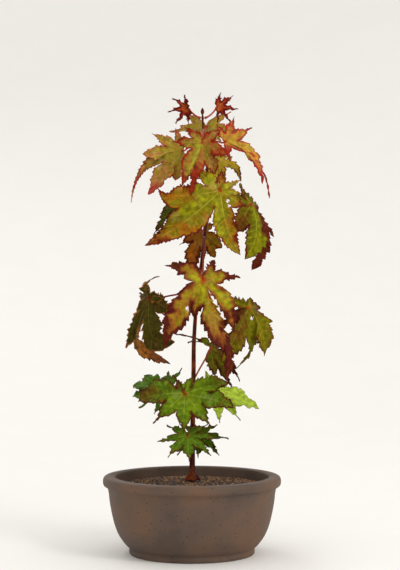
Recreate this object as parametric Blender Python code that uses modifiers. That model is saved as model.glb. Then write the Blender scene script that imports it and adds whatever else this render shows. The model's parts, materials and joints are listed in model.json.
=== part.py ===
"""Young japanese maple, grown as a slender upright bonsai in a plain round pot.

A thin woody stem rises from the soil with a slight lean and carries opposite pairs of leaves,
each pair turned a quarter round from the one below. Every leaf is a stalk and a palmate blade
in one solid. Metres, +Z up, with the origin at the middle of the pot's flat underside.
"""

import math
from collections import namedtuple

import bmesh
import bpy
from mathutils import Vector

MM = 0.001  # the sizes below are in millimetres
GAP = 0.3  # clear space between pieces that touch on the real plant

# Pot: a turned bowl with a stepped foot and a rolled rim, as (radius, height) going up
POT_OUTSIDE = [
    (40.2, 0.0), (41.0, 0.8), (40.6, 4.5), (43.2, 5.7), (49.5, 15.0), (53.3, 31.0),
    (54.5, 43.5), (57.5, 44.2), (58.0, 46.75), (57.6, 49.1), (56.4, 50.0),
]
POT_INSIDE = [(37.0, 6.0), (41.0, 10.0), (49.5, 31.0), (50.1, 50.0)]
POT_FLOOR = POT_INSIDE[0][1]
ROUND_STEPS = 40

# Soil: fills the pot and rises a little towards the stem
SOIL_TOP = 47.0
SOIL_EDGE_DROP = 3.0
SOIL_FLAT_RADIUS = 9.0
SOIL_CROWN_SHARES = (0.35, 0.7)
SOIL_SIDE_GAP = 1.3 * GAP  # taken off the radius, as the wall leans

# Stem: places and radii on the way up, as (x, y, z, radius)
STEM_FOOT = SOIL_TOP + GAP
STEM_COURSE = [
    (0.0, 0.0, STEM_FOOT, 1.95),
    (0.4, 0.4, 79.0, 1.65),
    (1.0, 0.9, 118.0, 1.45),
    (1.3, 0.6, 138.0, 1.33),
    (3.2, 0.0, 165.0, 1.18),
    (7.0, -0.6, 195.0, 1.08),
    (10.2, -0.3, 228.0, 0.95),
    (9.8, 0.3, 251.0, 0.82),
    (7.8, 0.4, 268.0, 0.70),
    (6.8, 0.2, 285.0, 0.55),
]
STEM_STEP = 9.0
STEM_RING_ROOM = 2.0
STEM_SIDES_RESOLUTION = 3
NODE_SWELL = 0.35  # how much thicker the stem is where a pair of leaves leaves it
NODE_REACH = 1.6
FLARE_RADIUS = 2.6  # what the root flare adds to the stem's radius at the soil
FLARE_HEIGHT = 9.0
FLARE_RINGS = (0.0, 1.5, 3.5, 6.0)
FLARE_RIDGES = 5
FLARE_RIDGE_DEPTH = 0.28
FLAT_FOOT_REACH = 1.0
BUD_LENGTH = 4.2
BUD_RADIUS = 1.15
BUD_RINGS = [(0.12, 0.75), (0.4, 1.0), (0.75, 0.62), (1.0, 0.18)]  # shares of length and radius

# Heights on the stem where the pairs of leaves leave it, from the soil upwards
PAIR_HEIGHTS = [72.0, 98.8, 109.9, 167.1, 204.8, 232.1, 251.6, 267.8, 274.3, 282.5]
OUTWARD = {
    "front": Vector((0, -1, 0)),
    "back": Vector((0, 1, 0)),
    "left": Vector((-1, 0, 0)),
    "right": Vector((1, 0, 0)),
}

# The leaves are placed as they show from the front, by an eye level with the crown
EYE_X = 5.2
EYE_Z = 180.0
EYE_DISTANCE = 1000.0

# Blade: shape shared by every lobe
BLADE_THICKNESS = 0.8
WEB_SHARE = 0.42  # how far out neighbouring lobes stay joined, as a share of the shorter one
YOUNG_SPREAD = 40.0  # degrees between the lobes of the small top leaves
YOUNG_SHORTENING = 0.08
BELLY = 0.44  # where along its midrib a lobe is widest
BASE_ROUNDNESS = 0.8
TIP_STRAIGHTNESS = 0.45
LOBE_CLEARANCE = 0.46  # most of the way to its neighbour that a lobe's margin may take
MARGIN_EASE = 0.22  # stretch of the lobe over which the margin leaves the web
VEIN_SLANT = 0.10  # how far forward side veins run from midrib to margin
ARCH_SHARE = 0.06
TURN_SHARE = 0.45  # stretch of the lobe over which it reaches its full turn
WEB_ROWS = 1
FREE_ROWS = 5
TOOTH_NOTCH = 0.80
BLADE_WELD = 0.02
TUBE_WELD = 0.01

# Hub and stalk
HUB_RADIUS = 1.1
HUB_NUDGE = 0.04
HUB_TRIES = 12
STALK_RADIUS = 0.6
STALK_POINTS = 8
STALK_FIRST_STEP = 0.8
STALK_OUT_SHARE = 0.38
STALK_BACK_SHARE = 0.22
STALK_RISE = 0.12

Lobe = namedtuple("Lobe", "bearing reach width bow push turn web")
Leaf = namedtuple("Leaf", "name pair side hub depth faces tint lobes")


def lobes(*rows):
    """Lobes from rows of bearing, reach, width, bow, push, turn and web, clockwise from the stalk.

    bearing: degrees clockwise from straight up as seen from the front. reach: length in that
    view. width: widest part. bow: how far the midrib bends to the clockwise side. push: how
    much further back the tip lies than the hub. turn: degrees that the lobe is twisted. web:
    how far out it stays joined to the next lobe, or 0 for the usual share.
    """
    return [Lobe(*row, *(0.0,) * (7 - len(row))) for row in rows]


def even_lobes(heading, reach, width, push):
    """Five lobes fanned evenly about a heading, shorter towards the stalk."""
    fan = []
    for step in range(-2, 3):
        share = 1.0 - YOUNG_SHORTENING * step * step
        fan.append((heading + YOUNG_SPREAD * step, reach * share, width * share, 0.0, push * share))
    return lobes(*fan)


LEAVES = [
    Leaf("leaf_1_front", 1, "front", (-3.0, 76.0), -22.0, (0.1, -0.5, 0.85), "green", lobes(
        (62, 15, 8, 0, 2), (96, 20, 9, 0, -4), (130, 20, 10, 0, -11), (176, 17, 11, 0, -15),
        (222, 19, 10, 0, -11), (258, 20, 9, 0, -4), (296, 15, 8, 0, 2))),
    Leaf("leaf_1_back", 1, "back", (4.0, 77.0), 22.0, (0.0, 0.5, 0.85), "green", lobes(
        (64, 14, 8, 0, -2), (98, 20, 9, 0, 4), (134, 19, 10, 0, 12), (180, 15, 11, 0, 17),
        (226, 19, 10, 0, 12), (262, 20, 9, 0, 4), (298, 14, 8, 0, -2))),
    Leaf("leaf_2_right", 2, "right", (15.0, 106.0), 7.0, (0.3, -0.45, 0.85), "bright_green", lobes(
        (350, 9, 7, 0, 10), (25, 13, 11, 0, 14), (75, 18, 11, 0, 12), (113, 31, 11.5, 0, 2),
        (141, 26, 10, 0, -4), (172, 22, 9, 0, -7))),
    Leaf("leaf_2_left", 2, "left", (-17.6, 104.5), 12.0, (-0.3, -0.35, 0.9), "green", lobes(
        (205, 16, 8, 0, -7), (238, 20, 11, 0, -6), (262, 22, 12, 0, 0), (279, 21, 12, 2, 9),
        (318, 15, 12, 0, 16), (10, 14, 8, 0, 15), (33, 17, 4, 0, 6))),
    Leaf("leaf_3_front", 3, "front", (-4.9, 103.0), -20.0, (0.0, -0.62, 0.78), "green", lobes(
        (19, 12.5, 5.5, 0, 5), (76, 30, 10, -1, 2), (105, 33, 12.5, -1, -6), (141, 28, 13, 0, -12),
        (181, 26, 13, 0, -15), (227, 28, 13, 0, -12), (261, 30.5, 14, 2, -3), (330, 14.5, 5, 0, 5))),
    Leaf("leaf_3_back", 3, "back", (12.0, 133.6), 22.0, (0.1, 0.75, 0.65), "olive", lobes(
        (281, 15, 4.5, 2, 4, 45), (290, 24, 4.5, 2, 9, 45), (30, 8, 7, 0, 14), (80, 12, 8, 0, 15),
        (139, 29, 9, -2, 6), (152, 31.5, 9, 0, 1), (168, 19, 11, 0, -3))),
    Leaf("leaf_4_left", 4, "left", (-28.3, 165.4), 0.0, (-0.45, -0.8, 0.4), "dark_green", lobes(
        (128, 18, 10, 0, -4), (153, 32, 17, 1, -6), (161, 44.5, 9, 16, 3), (204, 35.5, 8, 3.5, 10),
        (300, 7, 6, 0, 16), (27, 16.5, 5, -5, 6, 30), (66, 7, 5, 0, 0))),
    Leaf("leaf_4_right", 4, "right", (36.9, 159.5), 2.0, (0.35, -0.82, 0.45), "olive", lobes(
        (299, 13.5, 9, 0, 4), (8, 6, 4, 0, 4), (110, 6, 8, 0, 20), (163, 33, 13, -6.5, 5),
        (192, 38.5, 4.5, -6, 12, 40), (207, 40, 19, -1, -3), (238, 23.5, 9, 0, 3))),
    Leaf("leaf_5_front", 5, "front", (7.1, 177.0), -24.0, (0.05, -0.93, 0.35), "turning", lobes(
        (30, 15.5, 8, 0, 4), (85, 25, 13, -1, 4), (149, 37.5, 13, -2, -2), (166, 69, 18, -4, -5, 20),
        (196, 24.5, 9, 0, 1), (210, 52.5, 19, 2.5, -3), (290, 27.5, 16, 3, 4))),
    Leaf("leaf_5_back", 5, "back", (6.5, 209.0), 16.0, (0.0, 0.85, 0.5), "rust", lobes(
        (60, 10, 8, 0, 10), (128, 17, 9.5, 0, 4), (151, 19, 9, 0, 1), (172, 18, 7, 0, -2),
        (197, 28, 12, 1, 2), (241, 17, 8, 0, 5), (300, 10, 8, 0, 10))),
    Leaf("leaf_6_right", 6, "right", (38.6, 226.5), 0.0, (0.5, -0.75, 0.45), "turning_green", lobes(
        (275, 12, 9, 0, 3), (323, 16.5, 7, -2, 10), (95, 4, 6, 0, 18), (149, 26, 8, -2, 8),
        (180, 40.5, 9, -10, 5), (185, 36, 19, -1, -4), (209, 22, 9, 0, -2))),
    Leaf("leaf_6_left", 6, "left", (-9.1, 230.1), 0.0, (-0.4, -0.8, 0.45), "dark_green", lobes(
        (178, 18, 9, 0, -4), (200, 22, 11, 0, -3), (214, 28.5, 12, 0, 2), (229, 15, 8, 0, 9),
        (285, 7, 7, 0, 12), (340, 8, 6, 0, 8))),
    Leaf("leaf_7_front", 7, "front", (18.5, 235.2), -24.0, (0.0, -0.95, 0.3), "turning", lobes(
        (8, 13.5, 7.5, 0, 3), (60, 16, 8.5, 0, 4), (92, 15, 8.5, 0, 4), (122, 18.5, 10, 0, 3),
        (162, 44, 16, 2, -2), (234, 61, 20, -2, -4, 0, 25), (270, 41, 15, -2, 0), (305, 18, 9.5, 0, 3))),
    Leaf("leaf_7_back", 7, "back", (15.6, 254.8), 14.0, (0.2, 0.8, 0.55), "olive", lobes(
        (20, 9, 6, 0, 8), (75, 11, 7, 0, 12), (126, 19, 7, -4, 6), (156, 16, 8, 0, 3),
        (186, 16, 8, 0, 1), (213, 14, 7, 0, 3), (262, 10, 6, 0, 9))),
    Leaf("leaf_8_right", 8, "right", (21.5, 267.0), 0.0, (0.35, -0.65, 0.65), "red", lobes(
        (335, 13, 7, 0, 4), (20, 17, 9, 0, 6), (62, 20, 10, 0, 5), (137, 36.5, 11, -8, -2),
        (142, 46.5, 5, -8, 7, 40), (165, 13, 5, 0, -3))),
    Leaf("leaf_8_left", 8, "left", (-5.9, 261.3), 0.0, (-0.4, -0.75, 0.5), "turning", lobes(
        (194, 19, 10, 0, -2), (218, 36.5, 15, 0, -4), (225, 47.5, 6, 11, 6, 40), (264, 26, 13, 2, 2),
        (299, 23, 10, 0, 5), (342, 15, 8, 0, 3))),
    Leaf("leaf_9_front", 9, "front", (6.8, 266.3), -16.0, (0.0, -0.9, 0.45), "turning", lobes(
        (54, 16, 8.5, 0, 2), (116, 17, 10, 0, -2), (160, 19.5, 8, 0, 2), (191, 35, 8, 0, 1),
        (206, 30, 14, 0, -4), (272, 20, 10, 0, 1), (312, 15.5, 8, 0, 3))),
    Leaf("leaf_9_back", 9, "back", (9.0, 277.0), 18.0, (0.0, 0.6, 0.8), "turning_green", lobes(
        (60, 19, 8, 0, 6), (98, 24, 10, 0, 13), (136, 15, 11, 0, 24), (180, 10, 12, 0, 29),
        (224, 15, 11, 0, 24), (262, 24, 10, 0, 13), (300, 19, 8, 0, 6))),
    Leaf("leaf_10_left", 10, "left", (-2.0, 288.5), -3.0, (-0.5, -0.5, 0.8), "red",
         even_lobes(262, 14, 7.5, -5)),
    Leaf("leaf_10_right", 10, "right", (16.0, 289.5), 4.0, (0.5, -0.5, 0.8), "red",
         even_lobes(95, 14, 7.5, 5)),
]

# Colours and roughness values
POT_COLOUR = (0.10, 0.065, 0.05)
POT_ROUGHNESS = 0.6
SOIL_COLOUR = (0.045, 0.028, 0.018)
SOIL_ROUGHNESS = 0.95
BARK_COLOUR = (0.09, 0.022, 0.016)
BARK_ROUGHNESS = 0.55
LEAF_ROUGHNESS = 0.5
LEAF_COLOURS = {
    "green": (0.15, 0.27, 0.05),
    "bright_green": (0.32, 0.55, 0.04),
    "dark_green": (0.07, 0.13, 0.03),
    "turning": (0.42, 0.38, 0.07),
    "turning_green": (0.20, 0.28, 0.06),
    "olive": (0.24, 0.22, 0.06),
    "rust": (0.33, 0.12, 0.04),
    "red": (0.42, 0.10, 0.05),
}


def clear_scene():
    for thing in list(bpy.data.objects):
        bpy.data.objects.remove(thing, do_unlink=True)


def make_material(name, colour, roughness):
    material = bpy.data.materials.new(name)
    material.use_nodes = True
    shader = material.node_tree.nodes["Principled BSDF"]
    shader.inputs["Base Color"].default_value = (*colour, 1.0)
    shader.inputs["Roughness"].default_value = roughness
    shader.inputs["Metallic"].default_value = 0.0
    return material


def add_object(name, mesh, collection, material=None):
    thing = bpy.data.objects.new(name, mesh)
    collection.objects.link(thing)
    if material:
        mesh.materials.append(material)
    return thing


def applied(thing, name, collection, material):
    """A plain mesh object from another object's evaluated mesh; the other object is removed."""
    bpy.context.view_layer.update()
    seen = thing.evaluated_get(bpy.context.evaluated_depsgraph_get())
    mesh = bpy.data.meshes.new_from_object(seen)
    bpy.data.objects.remove(thing, do_unlink=True)
    mesh.name = name
    mesh.materials.clear()
    return add_object(name, mesh, collection, material)


def weld(thing):
    shape = bmesh.new()
    shape.from_mesh(thing.data)
    bmesh.ops.remove_doubles(shape, verts=shape.verts, dist=TUBE_WELD * MM)
    shape.to_mesh(thing.data)
    shape.free()


def ease(share):
    share = min(max(share, 0.0), 1.0)
    return share * share * (3.0 - 2.0 * share)


def turned(name, profile, collection, material):
    """A solid of revolution about the vertical axis, from (radius, height) points in millimetres."""
    mesh = bpy.data.meshes.new(name)
    points = [(radius * MM, 0.0, height * MM) for radius, height in profile]
    mesh.from_pydata(points, [(i, i + 1) for i in range(len(points) - 1)], [])
    thing = add_object(name, mesh, collection, material)
    screw = thing.modifiers.new("turn", "SCREW")
    screw.axis = "Z"
    screw.steps = ROUND_STEPS
    screw.render_steps = ROUND_STEPS
    screw.use_merge_vertices = True
    screw.merge_threshold = TUBE_WELD * MM
    return thing


def make_pot(collection, material):
    """Stoneware bowl: from the middle of its floor, up the inside, over the rim and down."""
    profile = [(0.0, POT_FLOOR)] + POT_INSIDE + POT_OUTSIDE[::-1] + [(0.0, 0.0)]
    return turned("pot", profile, collection, material)


def make_soil(collection, material):
    """Soil: domed on top, and a gap's width inside the pot's floor and wall all the way down."""
    (low_radius, low), (high_radius, high) = POT_INSIDE[-2:]
    edge_height = SOIL_TOP - SOIL_EDGE_DROP
    wall_radius = low_radius + (high_radius - low_radius) * (edge_height - low) / (high - low)
    edge_radius = wall_radius - GAP
    crown = [(0.0, SOIL_TOP), (SOIL_FLAT_RADIUS, SOIL_TOP)]
    for share in SOIL_CROWN_SHARES:
        crown.append((
            SOIL_FLAT_RADIUS + (edge_radius - SOIL_FLAT_RADIUS) * share,
            SOIL_TOP - SOIL_EDGE_DROP * share * share,
        ))
    side = [(radius - SOIL_SIDE_GAP, height + GAP) for radius, height in POT_INSIDE[:-1]]
    profile = crown + [(edge_radius, edge_height)] + side[::-1] + [(0.0, POT_FLOOR + GAP)]
    return turned("soil", profile, collection, material)


def stem_at(height):
    """Middle and radius of the stem at a height, on a smooth curve through its course."""
    course = STEM_COURSE
    last = len(course) - 2
    i = next((n for n in range(last + 1) if height <= course[n + 1][2]), last)
    before, low, high, after = (course[min(max(n, 0), last + 1)] for n in (i - 1, i, i + 1, i + 2))
    u = (height - low[2]) / (high[2] - low[2])
    values = []
    for axis in (0, 1, 3):
        rise = (high[axis] - before[axis]) / max(high[2] - before[2], 1e-6) * (high[2] - low[2])
        fall = (after[axis] - low[axis]) / max(after[2] - low[2], 1e-6) * (high[2] - low[2])
        values.append(
            low[axis] * (2 * u**3 - 3 * u**2 + 1) + rise * (u**3 - 2 * u**2 + u)
            + high[axis] * (3 * u**2 - 2 * u**3) + fall * (u**3 - u**2)
        )
    x, y, radius = values
    return Vector((x, y, height)), radius


def stem_radius(height):
    """The stem's radius with its root flare, the swellings at the pairs and the end bud."""
    radius = stem_at(height)[1]
    radius += FLARE_RADIUS * (1.0 - ease((height - STEM_FOOT) / FLARE_HEIGHT)) ** 2
    for pair in PAIR_HEIGHTS:
        radius += NODE_SWELL * max(0.0, 1.0 - abs(height - pair) / NODE_REACH)
    return radius


def make_trunk(collection, material):
    """The stem from its flat cut on the soil to its end bud, as one tapering tube."""
    top = STEM_COURSE[-1][2]
    heights = {STEM_FOOT + rise for rise in FLARE_RINGS} | {top}
    count = int((top - STEM_FOOT) / STEM_STEP)
    regular = [STEM_FOOT + (top - STEM_FOOT) * n / count for n in range(1, count)]
    for pair in PAIR_HEIGHTS:
        heights.update((pair - NODE_REACH, pair, pair + NODE_REACH))
    heights.update(z for z in regular if all(abs(z - other) > STEM_RING_ROOM for other in heights))
    rings = [(stem_at(z)[0], stem_radius(z)) for z in sorted(heights)]
    tip = stem_at(top)[0]
    for share, width in BUD_RINGS:
        rings.append((tip + Vector((0, 0, BUD_LENGTH * share)), BUD_RADIUS * width))

    curve = bpy.data.curves.new("trunk", "CURVE")
    curve.dimensions = "3D"
    curve.bevel_depth = MM
    curve.bevel_resolution = STEM_SIDES_RESOLUTION
    curve.use_fill_caps = True
    spline = curve.splines.new("POLY")
    spline.points.add(len(rings) - 1)
    for point, (middle, radius) in zip(spline.points, rings):
        point.co = (*(middle * MM), 1.0)
        point.radius = radius
    tube = bpy.data.objects.new("trunk_course", curve)
    collection.objects.link(tube)
    trunk = applied(tube, "trunk", collection, material)
    weld(trunk)
    for vertex in trunk.data.vertices:
        height = vertex.co.z / MM
        if height < STEM_FOOT + FLAT_FOOT_REACH:
            vertex.co.z = STEM_FOOT * MM
        flare = 1.0 - ease((height - STEM_FOOT) / FLARE_HEIGHT)
        middle = stem_at(max(height, STEM_FOOT))[0] * MM
        angle = math.atan2(vertex.co.y - middle.y, vertex.co.x - middle.x)
        ridge = 1.0 + FLARE_RIDGE_DEPTH * flare * flare * math.cos(FLARE_RIDGES * angle)
        vertex.co.x = middle.x + (vertex.co.x - middle.x) * ridge
        vertex.co.y = middle.y + (vertex.co.y - middle.y) * ridge
    return trunk


def seen_from_front(x, depth, z):
    """The point that shows at (x, z) in the front view and lies at a depth behind its plane."""
    spread = (EYE_DISTANCE + depth) / EYE_DISTANCE
    return Vector((EYE_X + (x - EYE_X) * spread, depth, EYE_Z + (z - EYE_Z) * spread))


def midrib(leaf, lobe, t):
    """Point on a lobe's midrib, from the hub at t = 0 to the tip at t = 1."""
    bearing = math.radians(lobe.bearing)
    bend = 4.0 * t * (1.0 - t)
    along = lobe.reach * t
    aside = lobe.bow * bend
    x = leaf.hub[0] + along * math.sin(bearing) + aside * math.cos(bearing)
    z = leaf.hub[1] + along * math.cos(bearing) - aside * math.sin(bearing)
    depth = leaf.depth + lobe.push * t + ARCH_SHARE * lobe.reach * leaf.faces[1] * bend
    return seen_from_front(x, depth, z)


def across(leaf, lobe, t):
    """Direction over the blade from the midrib to its clockwise margin."""
    ahead = midrib(leaf, lobe, min(t + 0.01, 1.0)) - midrib(leaf, lobe, max(t - 0.01, 0.0))
    facing = Vector(leaf.faces).normalized()
    side = ahead.cross(facing).normalized()
    if leaf.faces[1] > 0:
        side = -side
    turn = math.radians(lobe.turn) * ease(t / TURN_SHARE)
    lift = side.cross(ahead).normalized()
    return side * math.cos(turn) + lift * math.sin(turn)


def swell(t):
    """Share of a lobe's width at t: round below its widest place, drawn out to the tip."""
    if t < BELLY:
        return math.sin(0.5 * math.pi * t / BELLY) ** BASE_ROUNDNESS
    u = (t - BELLY) / (1.0 - BELLY)
    rounded = 0.5 * (1.0 + math.cos(math.pi * u))
    return TIP_STRAIGHTNESS * (1.0 - u) + (1.0 - TIP_STRAIGHTNESS) * rounded


def web_between(lobe, neighbour, side):
    """Distance from the hub at which a lobe parts from its neighbour on one side."""
    if neighbour is None:
        return WEB_SHARE * lobe.reach
    first = lobe if side > 0 else neighbour
    return first.web or WEB_SHARE * min(lobe.reach, neighbour.reach)


def margin(leaf, lobe, side, neighbour, t, notch=1.0):
    """Point on a lobe's margin. side is 1 on the clockwise side and -1 on the other."""
    middle = midrib(leaf, lobe, t)
    out = across(leaf, lobe, t) * side
    half = 0.5 * lobe.width * swell(t) * notch
    if neighbour is None:
        return middle + out * half
    distance = t * lobe.reach
    to_neighbour = midrib(leaf, neighbour, min(distance / neighbour.reach, 1.0)) - middle
    web = web_between(lobe, neighbour, side)
    free = ease((distance - web) / (MARGIN_EASE * lobe.reach))
    if free <= 0.0:
        return middle + to_neighbour * 0.5
    half = min(half, LOBE_CLEARANCE * to_neighbour.length)
    half = 0.5 * to_neighbour.length * (1.0 - free) + half * free
    heading = (to_neighbour.normalized() * (1.0 - free) + out * free).normalized()
    return middle + heading * half


def stations(lobe, neighbour, side):
    """Places of a lobe's cross lines along one margin: first down the web, then to the tip."""
    web = web_between(lobe, neighbour, side) / lobe.reach
    inner = [web * n / WEB_ROWS for n in range(WEB_ROWS + 1)]
    return inner + [web + (1.0 - web) * n / FREE_ROWS for n in range(1, FREE_ROWS + 1)]


def lobe_grid(leaf, number):
    """Rows of (counterclockwise margin, midrib, clockwise margin) from the hub to the tip."""
    lobe = leaf.lobes[number]
    before = leaf.lobes[number - 1] if number else None
    after = leaf.lobes[number + 1] if number + 1 < len(leaf.lobes) else None
    rows = []
    for n, (s, e) in enumerate(zip(stations(lobe, before, -1), stations(lobe, after, 1))):
        mean = 0.5 * (s + e)
        centre = mean - VEIN_SLANT * math.sin(math.pi * mean)
        is_notch = n > WEB_ROWS and (n - WEB_ROWS) % 2 == 0
        notch = TOOTH_NOTCH if is_notch else 1.0
        rows.append((
            margin(leaf, lobe, -1, before, s, notch),
            midrib(leaf, lobe, max(centre, 0.0)),
            margin(leaf, lobe, 1, after, e, notch),
        ))
    return rows


def make_blade(leaf, collection):
    """The leaf's blade: one grid laid over each lobe, joined along the webs and thickened."""
    shape = bmesh.new()
    for number in range(len(leaf.lobes)):
        rows = lobe_grid(leaf, number)
        grid = bmesh.ops.create_grid(shape, x_segments=len(rows) - 1, y_segments=2, size=1.0)
        for vertex in grid["verts"]:
            row = round((vertex.co.x + 1.0) / 2.0 * (len(rows) - 1))
            column = round(vertex.co.y + 1.0)
            vertex.co = rows[row][column] * MM
    bmesh.ops.remove_doubles(shape, verts=shape.verts, dist=BLADE_WELD * MM)
    mesh = bpy.data.meshes.new(leaf.name)
    shape.to_mesh(mesh)
    shape.free()
    blade = add_object(leaf.name + "_blade", mesh, collection)
    thick = blade.modifiers.new("thickness", "SOLIDIFY")
    thick.thickness = BLADE_THICKNESS * MM
    thick.offset = 0.0
    return blade


def stalk_course(leaf):
    """Points of the leaf's stalk, out from the stem and up to the back of the blade's hub."""
    height = PAIR_HEIGHTS[leaf.pair - 1]
    middle = stem_at(height)[0]
    out = OUTWARD[leaf.side]
    start = middle + out * (stem_radius(height) + GAP)
    hub = seen_from_front(leaf.hub[0], leaf.depth, leaf.hub[1])
    span = (hub - start).length
    leave = start + out * STALK_OUT_SHARE * span + Vector((0, 0, STALK_RISE * span))
    arrive = hub - Vector(leaf.faces).normalized() * STALK_BACK_SHARE * span
    points = []
    for n in range(STALK_POINTS):
        t = n / (STALK_POINTS - 1)
        points.append(
            start * (1 - t) ** 3 + leave * 3 * t * (1 - t) ** 2
            + arrive * 3 * t * t * (1 - t) + hub * t**3
        )
    points.insert(1, start + out * STALK_FIRST_STEP)
    return points


def make_stalk(leaf, collection):
    curve = bpy.data.curves.new(leaf.name, "CURVE")
    curve.dimensions = "3D"
    curve.bevel_depth = STALK_RADIUS * MM
    curve.bevel_resolution = 1
    curve.use_fill_caps = True
    course = stalk_course(leaf)
    spline = curve.splines.new("POLY")
    spline.points.add(len(course) - 1)
    for point, place in zip(spline.points, course):
        point.co = (*(place * MM), 1.0)
    tube = bpy.data.objects.new(leaf.name + "_course", curve)
    collection.objects.link(tube)
    stalk = applied(tube, leaf.name + "_stalk", collection, None)
    weld(stalk)
    return stalk


def make_hub(leaf, radius, collection):
    """The small knob where the midribs meet the stalk."""
    shape = bmesh.new()
    bmesh.ops.create_icosphere(shape, subdivisions=1, radius=radius * MM)
    place = seen_from_front(leaf.hub[0], leaf.depth, leaf.hub[1]) * MM
    bmesh.ops.translate(shape, verts=shape.verts, vec=place)
    mesh = bpy.data.meshes.new(leaf.name + "_hub")
    shape.to_mesh(mesh)
    shape.free()
    return add_object(leaf.name + "_hub", mesh, collection)


def is_sound(mesh):
    """True for one closed body, with two faces at every edge."""
    shape = bmesh.new()
    shape.from_mesh(mesh)
    closed = all(edge.is_manifold for edge in shape.edges)
    reached = set()
    waiting = [next(iter(shape.verts))]
    while waiting:
        vertex = waiting.pop()
        if vertex not in reached:
            reached.add(vertex)
            waiting.extend(edge.other_vert(vertex) for edge in vertex.link_edges)
    whole = len(reached) == len(shape.verts)
    shape.free()
    return closed and whole


def make_leaf(leaf, collection, joined, material):
    """Blade, hub and stalk joined into one solid, with the hub a hair larger where a join fails."""
    for nudge in range(HUB_TRIES):
        blade = make_blade(leaf, collection)
        pieces = [make_stalk(leaf, joined), make_hub(leaf, HUB_RADIUS + HUB_NUDGE * nudge, joined)]
        join = blade.modifiers.new("stalk_and_hub", "BOOLEAN")
        join.operation = "UNION"
        join.operand_type = "COLLECTION"
        join.collection = joined
        join.solver = "MANIFOLD"  # the exact solver loses some of these folded blades
        result = applied(blade, leaf.name, collection, material)
        for piece in pieces:
            bpy.data.objects.remove(piece, do_unlink=True)
        if is_sound(result.data):
            return result
        bpy.data.objects.remove(result, do_unlink=True)
    raise RuntimeError(leaf.name + " does not join into one closed body")


def main():
    clear_scene()
    parts = bpy.data.collections.new("maple_bonsai")
    joined = bpy.data.collections.new("joined_shapes")
    for collection in (parts, joined):
        bpy.context.scene.collection.children.link(collection)
    make_pot(parts, make_material("stoneware", POT_COLOUR, POT_ROUGHNESS))
    make_soil(parts, make_material("soil", SOIL_COLOUR, SOIL_ROUGHNESS))
    make_trunk(parts, make_material("bark", BARK_COLOUR, BARK_ROUGHNESS))
    leaf_materials = {
        tint: make_material("leaf_" + tint, colour, LEAF_ROUGHNESS)
        for tint, colour in LEAF_COLOURS.items()
    }
    for leaf in LEAVES:
        make_leaf(leaf, parts, joined, leaf_materials[leaf.tint])
    bpy.data.collections.remove(joined)


main()
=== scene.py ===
"""Looks of the potted japanese maple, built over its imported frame.

The file is laid out as an add-on and run as a script: each operator makes one group of pieces,
and main() calls them in order. The tables are in millimetres, as they show from the front;
everything that reaches a mesh is in metres, in the frame's own axes.
"""

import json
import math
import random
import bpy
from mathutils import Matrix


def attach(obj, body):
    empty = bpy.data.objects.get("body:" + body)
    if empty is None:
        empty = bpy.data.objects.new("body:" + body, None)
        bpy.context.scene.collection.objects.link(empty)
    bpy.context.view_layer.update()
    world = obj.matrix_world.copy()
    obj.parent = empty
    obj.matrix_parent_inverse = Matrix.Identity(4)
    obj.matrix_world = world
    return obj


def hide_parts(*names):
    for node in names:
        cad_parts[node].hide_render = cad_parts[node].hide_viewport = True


bl_info = {
    "name": "Potted Maple Looks",
    "version": (1, 0, 0),
    "blender": (4, 5, 0),
    "location": "3D View > Sidebar > Maple",
    "description": "Makes the leaves, stem, soil and pot of a potted japanese maple",
    "category": "Add Mesh",
}

from collections import namedtuple

import bmesh
import bpy
from bpy.props import FloatProperty, FloatVectorProperty, IntProperty, PointerProperty
from mathutils import Vector, kdtree

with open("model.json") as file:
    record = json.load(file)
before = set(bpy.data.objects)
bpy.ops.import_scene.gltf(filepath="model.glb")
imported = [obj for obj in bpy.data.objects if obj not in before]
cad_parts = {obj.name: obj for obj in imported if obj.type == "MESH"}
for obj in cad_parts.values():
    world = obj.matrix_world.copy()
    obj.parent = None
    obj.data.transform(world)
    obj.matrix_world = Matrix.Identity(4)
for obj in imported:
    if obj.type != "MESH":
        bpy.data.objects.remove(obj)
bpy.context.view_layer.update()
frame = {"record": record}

MM = 0.001
GAP = 0.3  # clear space between pieces that touch on the real plant

# Stem: places and radii on the way up, as (x, y, z, radius), and where the leaf pairs leave it
SOIL_TOP = 47.0
STEM_FOOT = SOIL_TOP + GAP
STEM_COURSE = [
    (0.0, 0.0, STEM_FOOT, 1.95), (0.4, 0.4, 79.0, 1.65), (1.0, 0.9, 118.0, 1.45),
    (1.3, 0.6, 138.0, 1.33), (3.2, 0.0, 165.0, 1.18), (7.0, -0.6, 195.0, 1.08),
    (10.2, -0.3, 228.0, 0.95), (9.8, 0.3, 251.0, 0.82), (7.8, 0.4, 268.0, 0.70),
    (6.8, 0.2, 285.0, 0.55),
]
PAIR_HEIGHTS = [72.0, 98.8, 109.9, 167.1, 204.8, 232.1, 251.6, 267.8, 274.3, 282.5]
OUTWARD = {
    "front": Vector((0, -1, 0)),
    "back": Vector((0, 1, 0)),
    "left": Vector((-1, 0, 0)),
    "right": Vector((1, 0, 0)),
}
STEM_SIDES = 32
STEM_RING_STEP = 0.8
NODE_SWELL = 0.35
NODE_REACH = 1.6
FLARE_RADIUS = 2.6
FLARE_HEIGHT = 9.0
FLARE_RIDGES = 5
FLARE_RIDGE_DEPTH = 0.28
BUD_LENGTH = 4.2
BUD_RADIUS = 1.15
BUD_RINGS = 12
BUD_START, BUD_SPAN, BUD_END = 0.18, 0.82, 0.97  # the piece of a sine wave that it swells by
BUD_FULLNESS = 0.7
BARK_START = 0.4  # the stem's cut foot stays flat
LENTICEL_DENSITY = 130000.0  # on a square metre of bark

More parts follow.
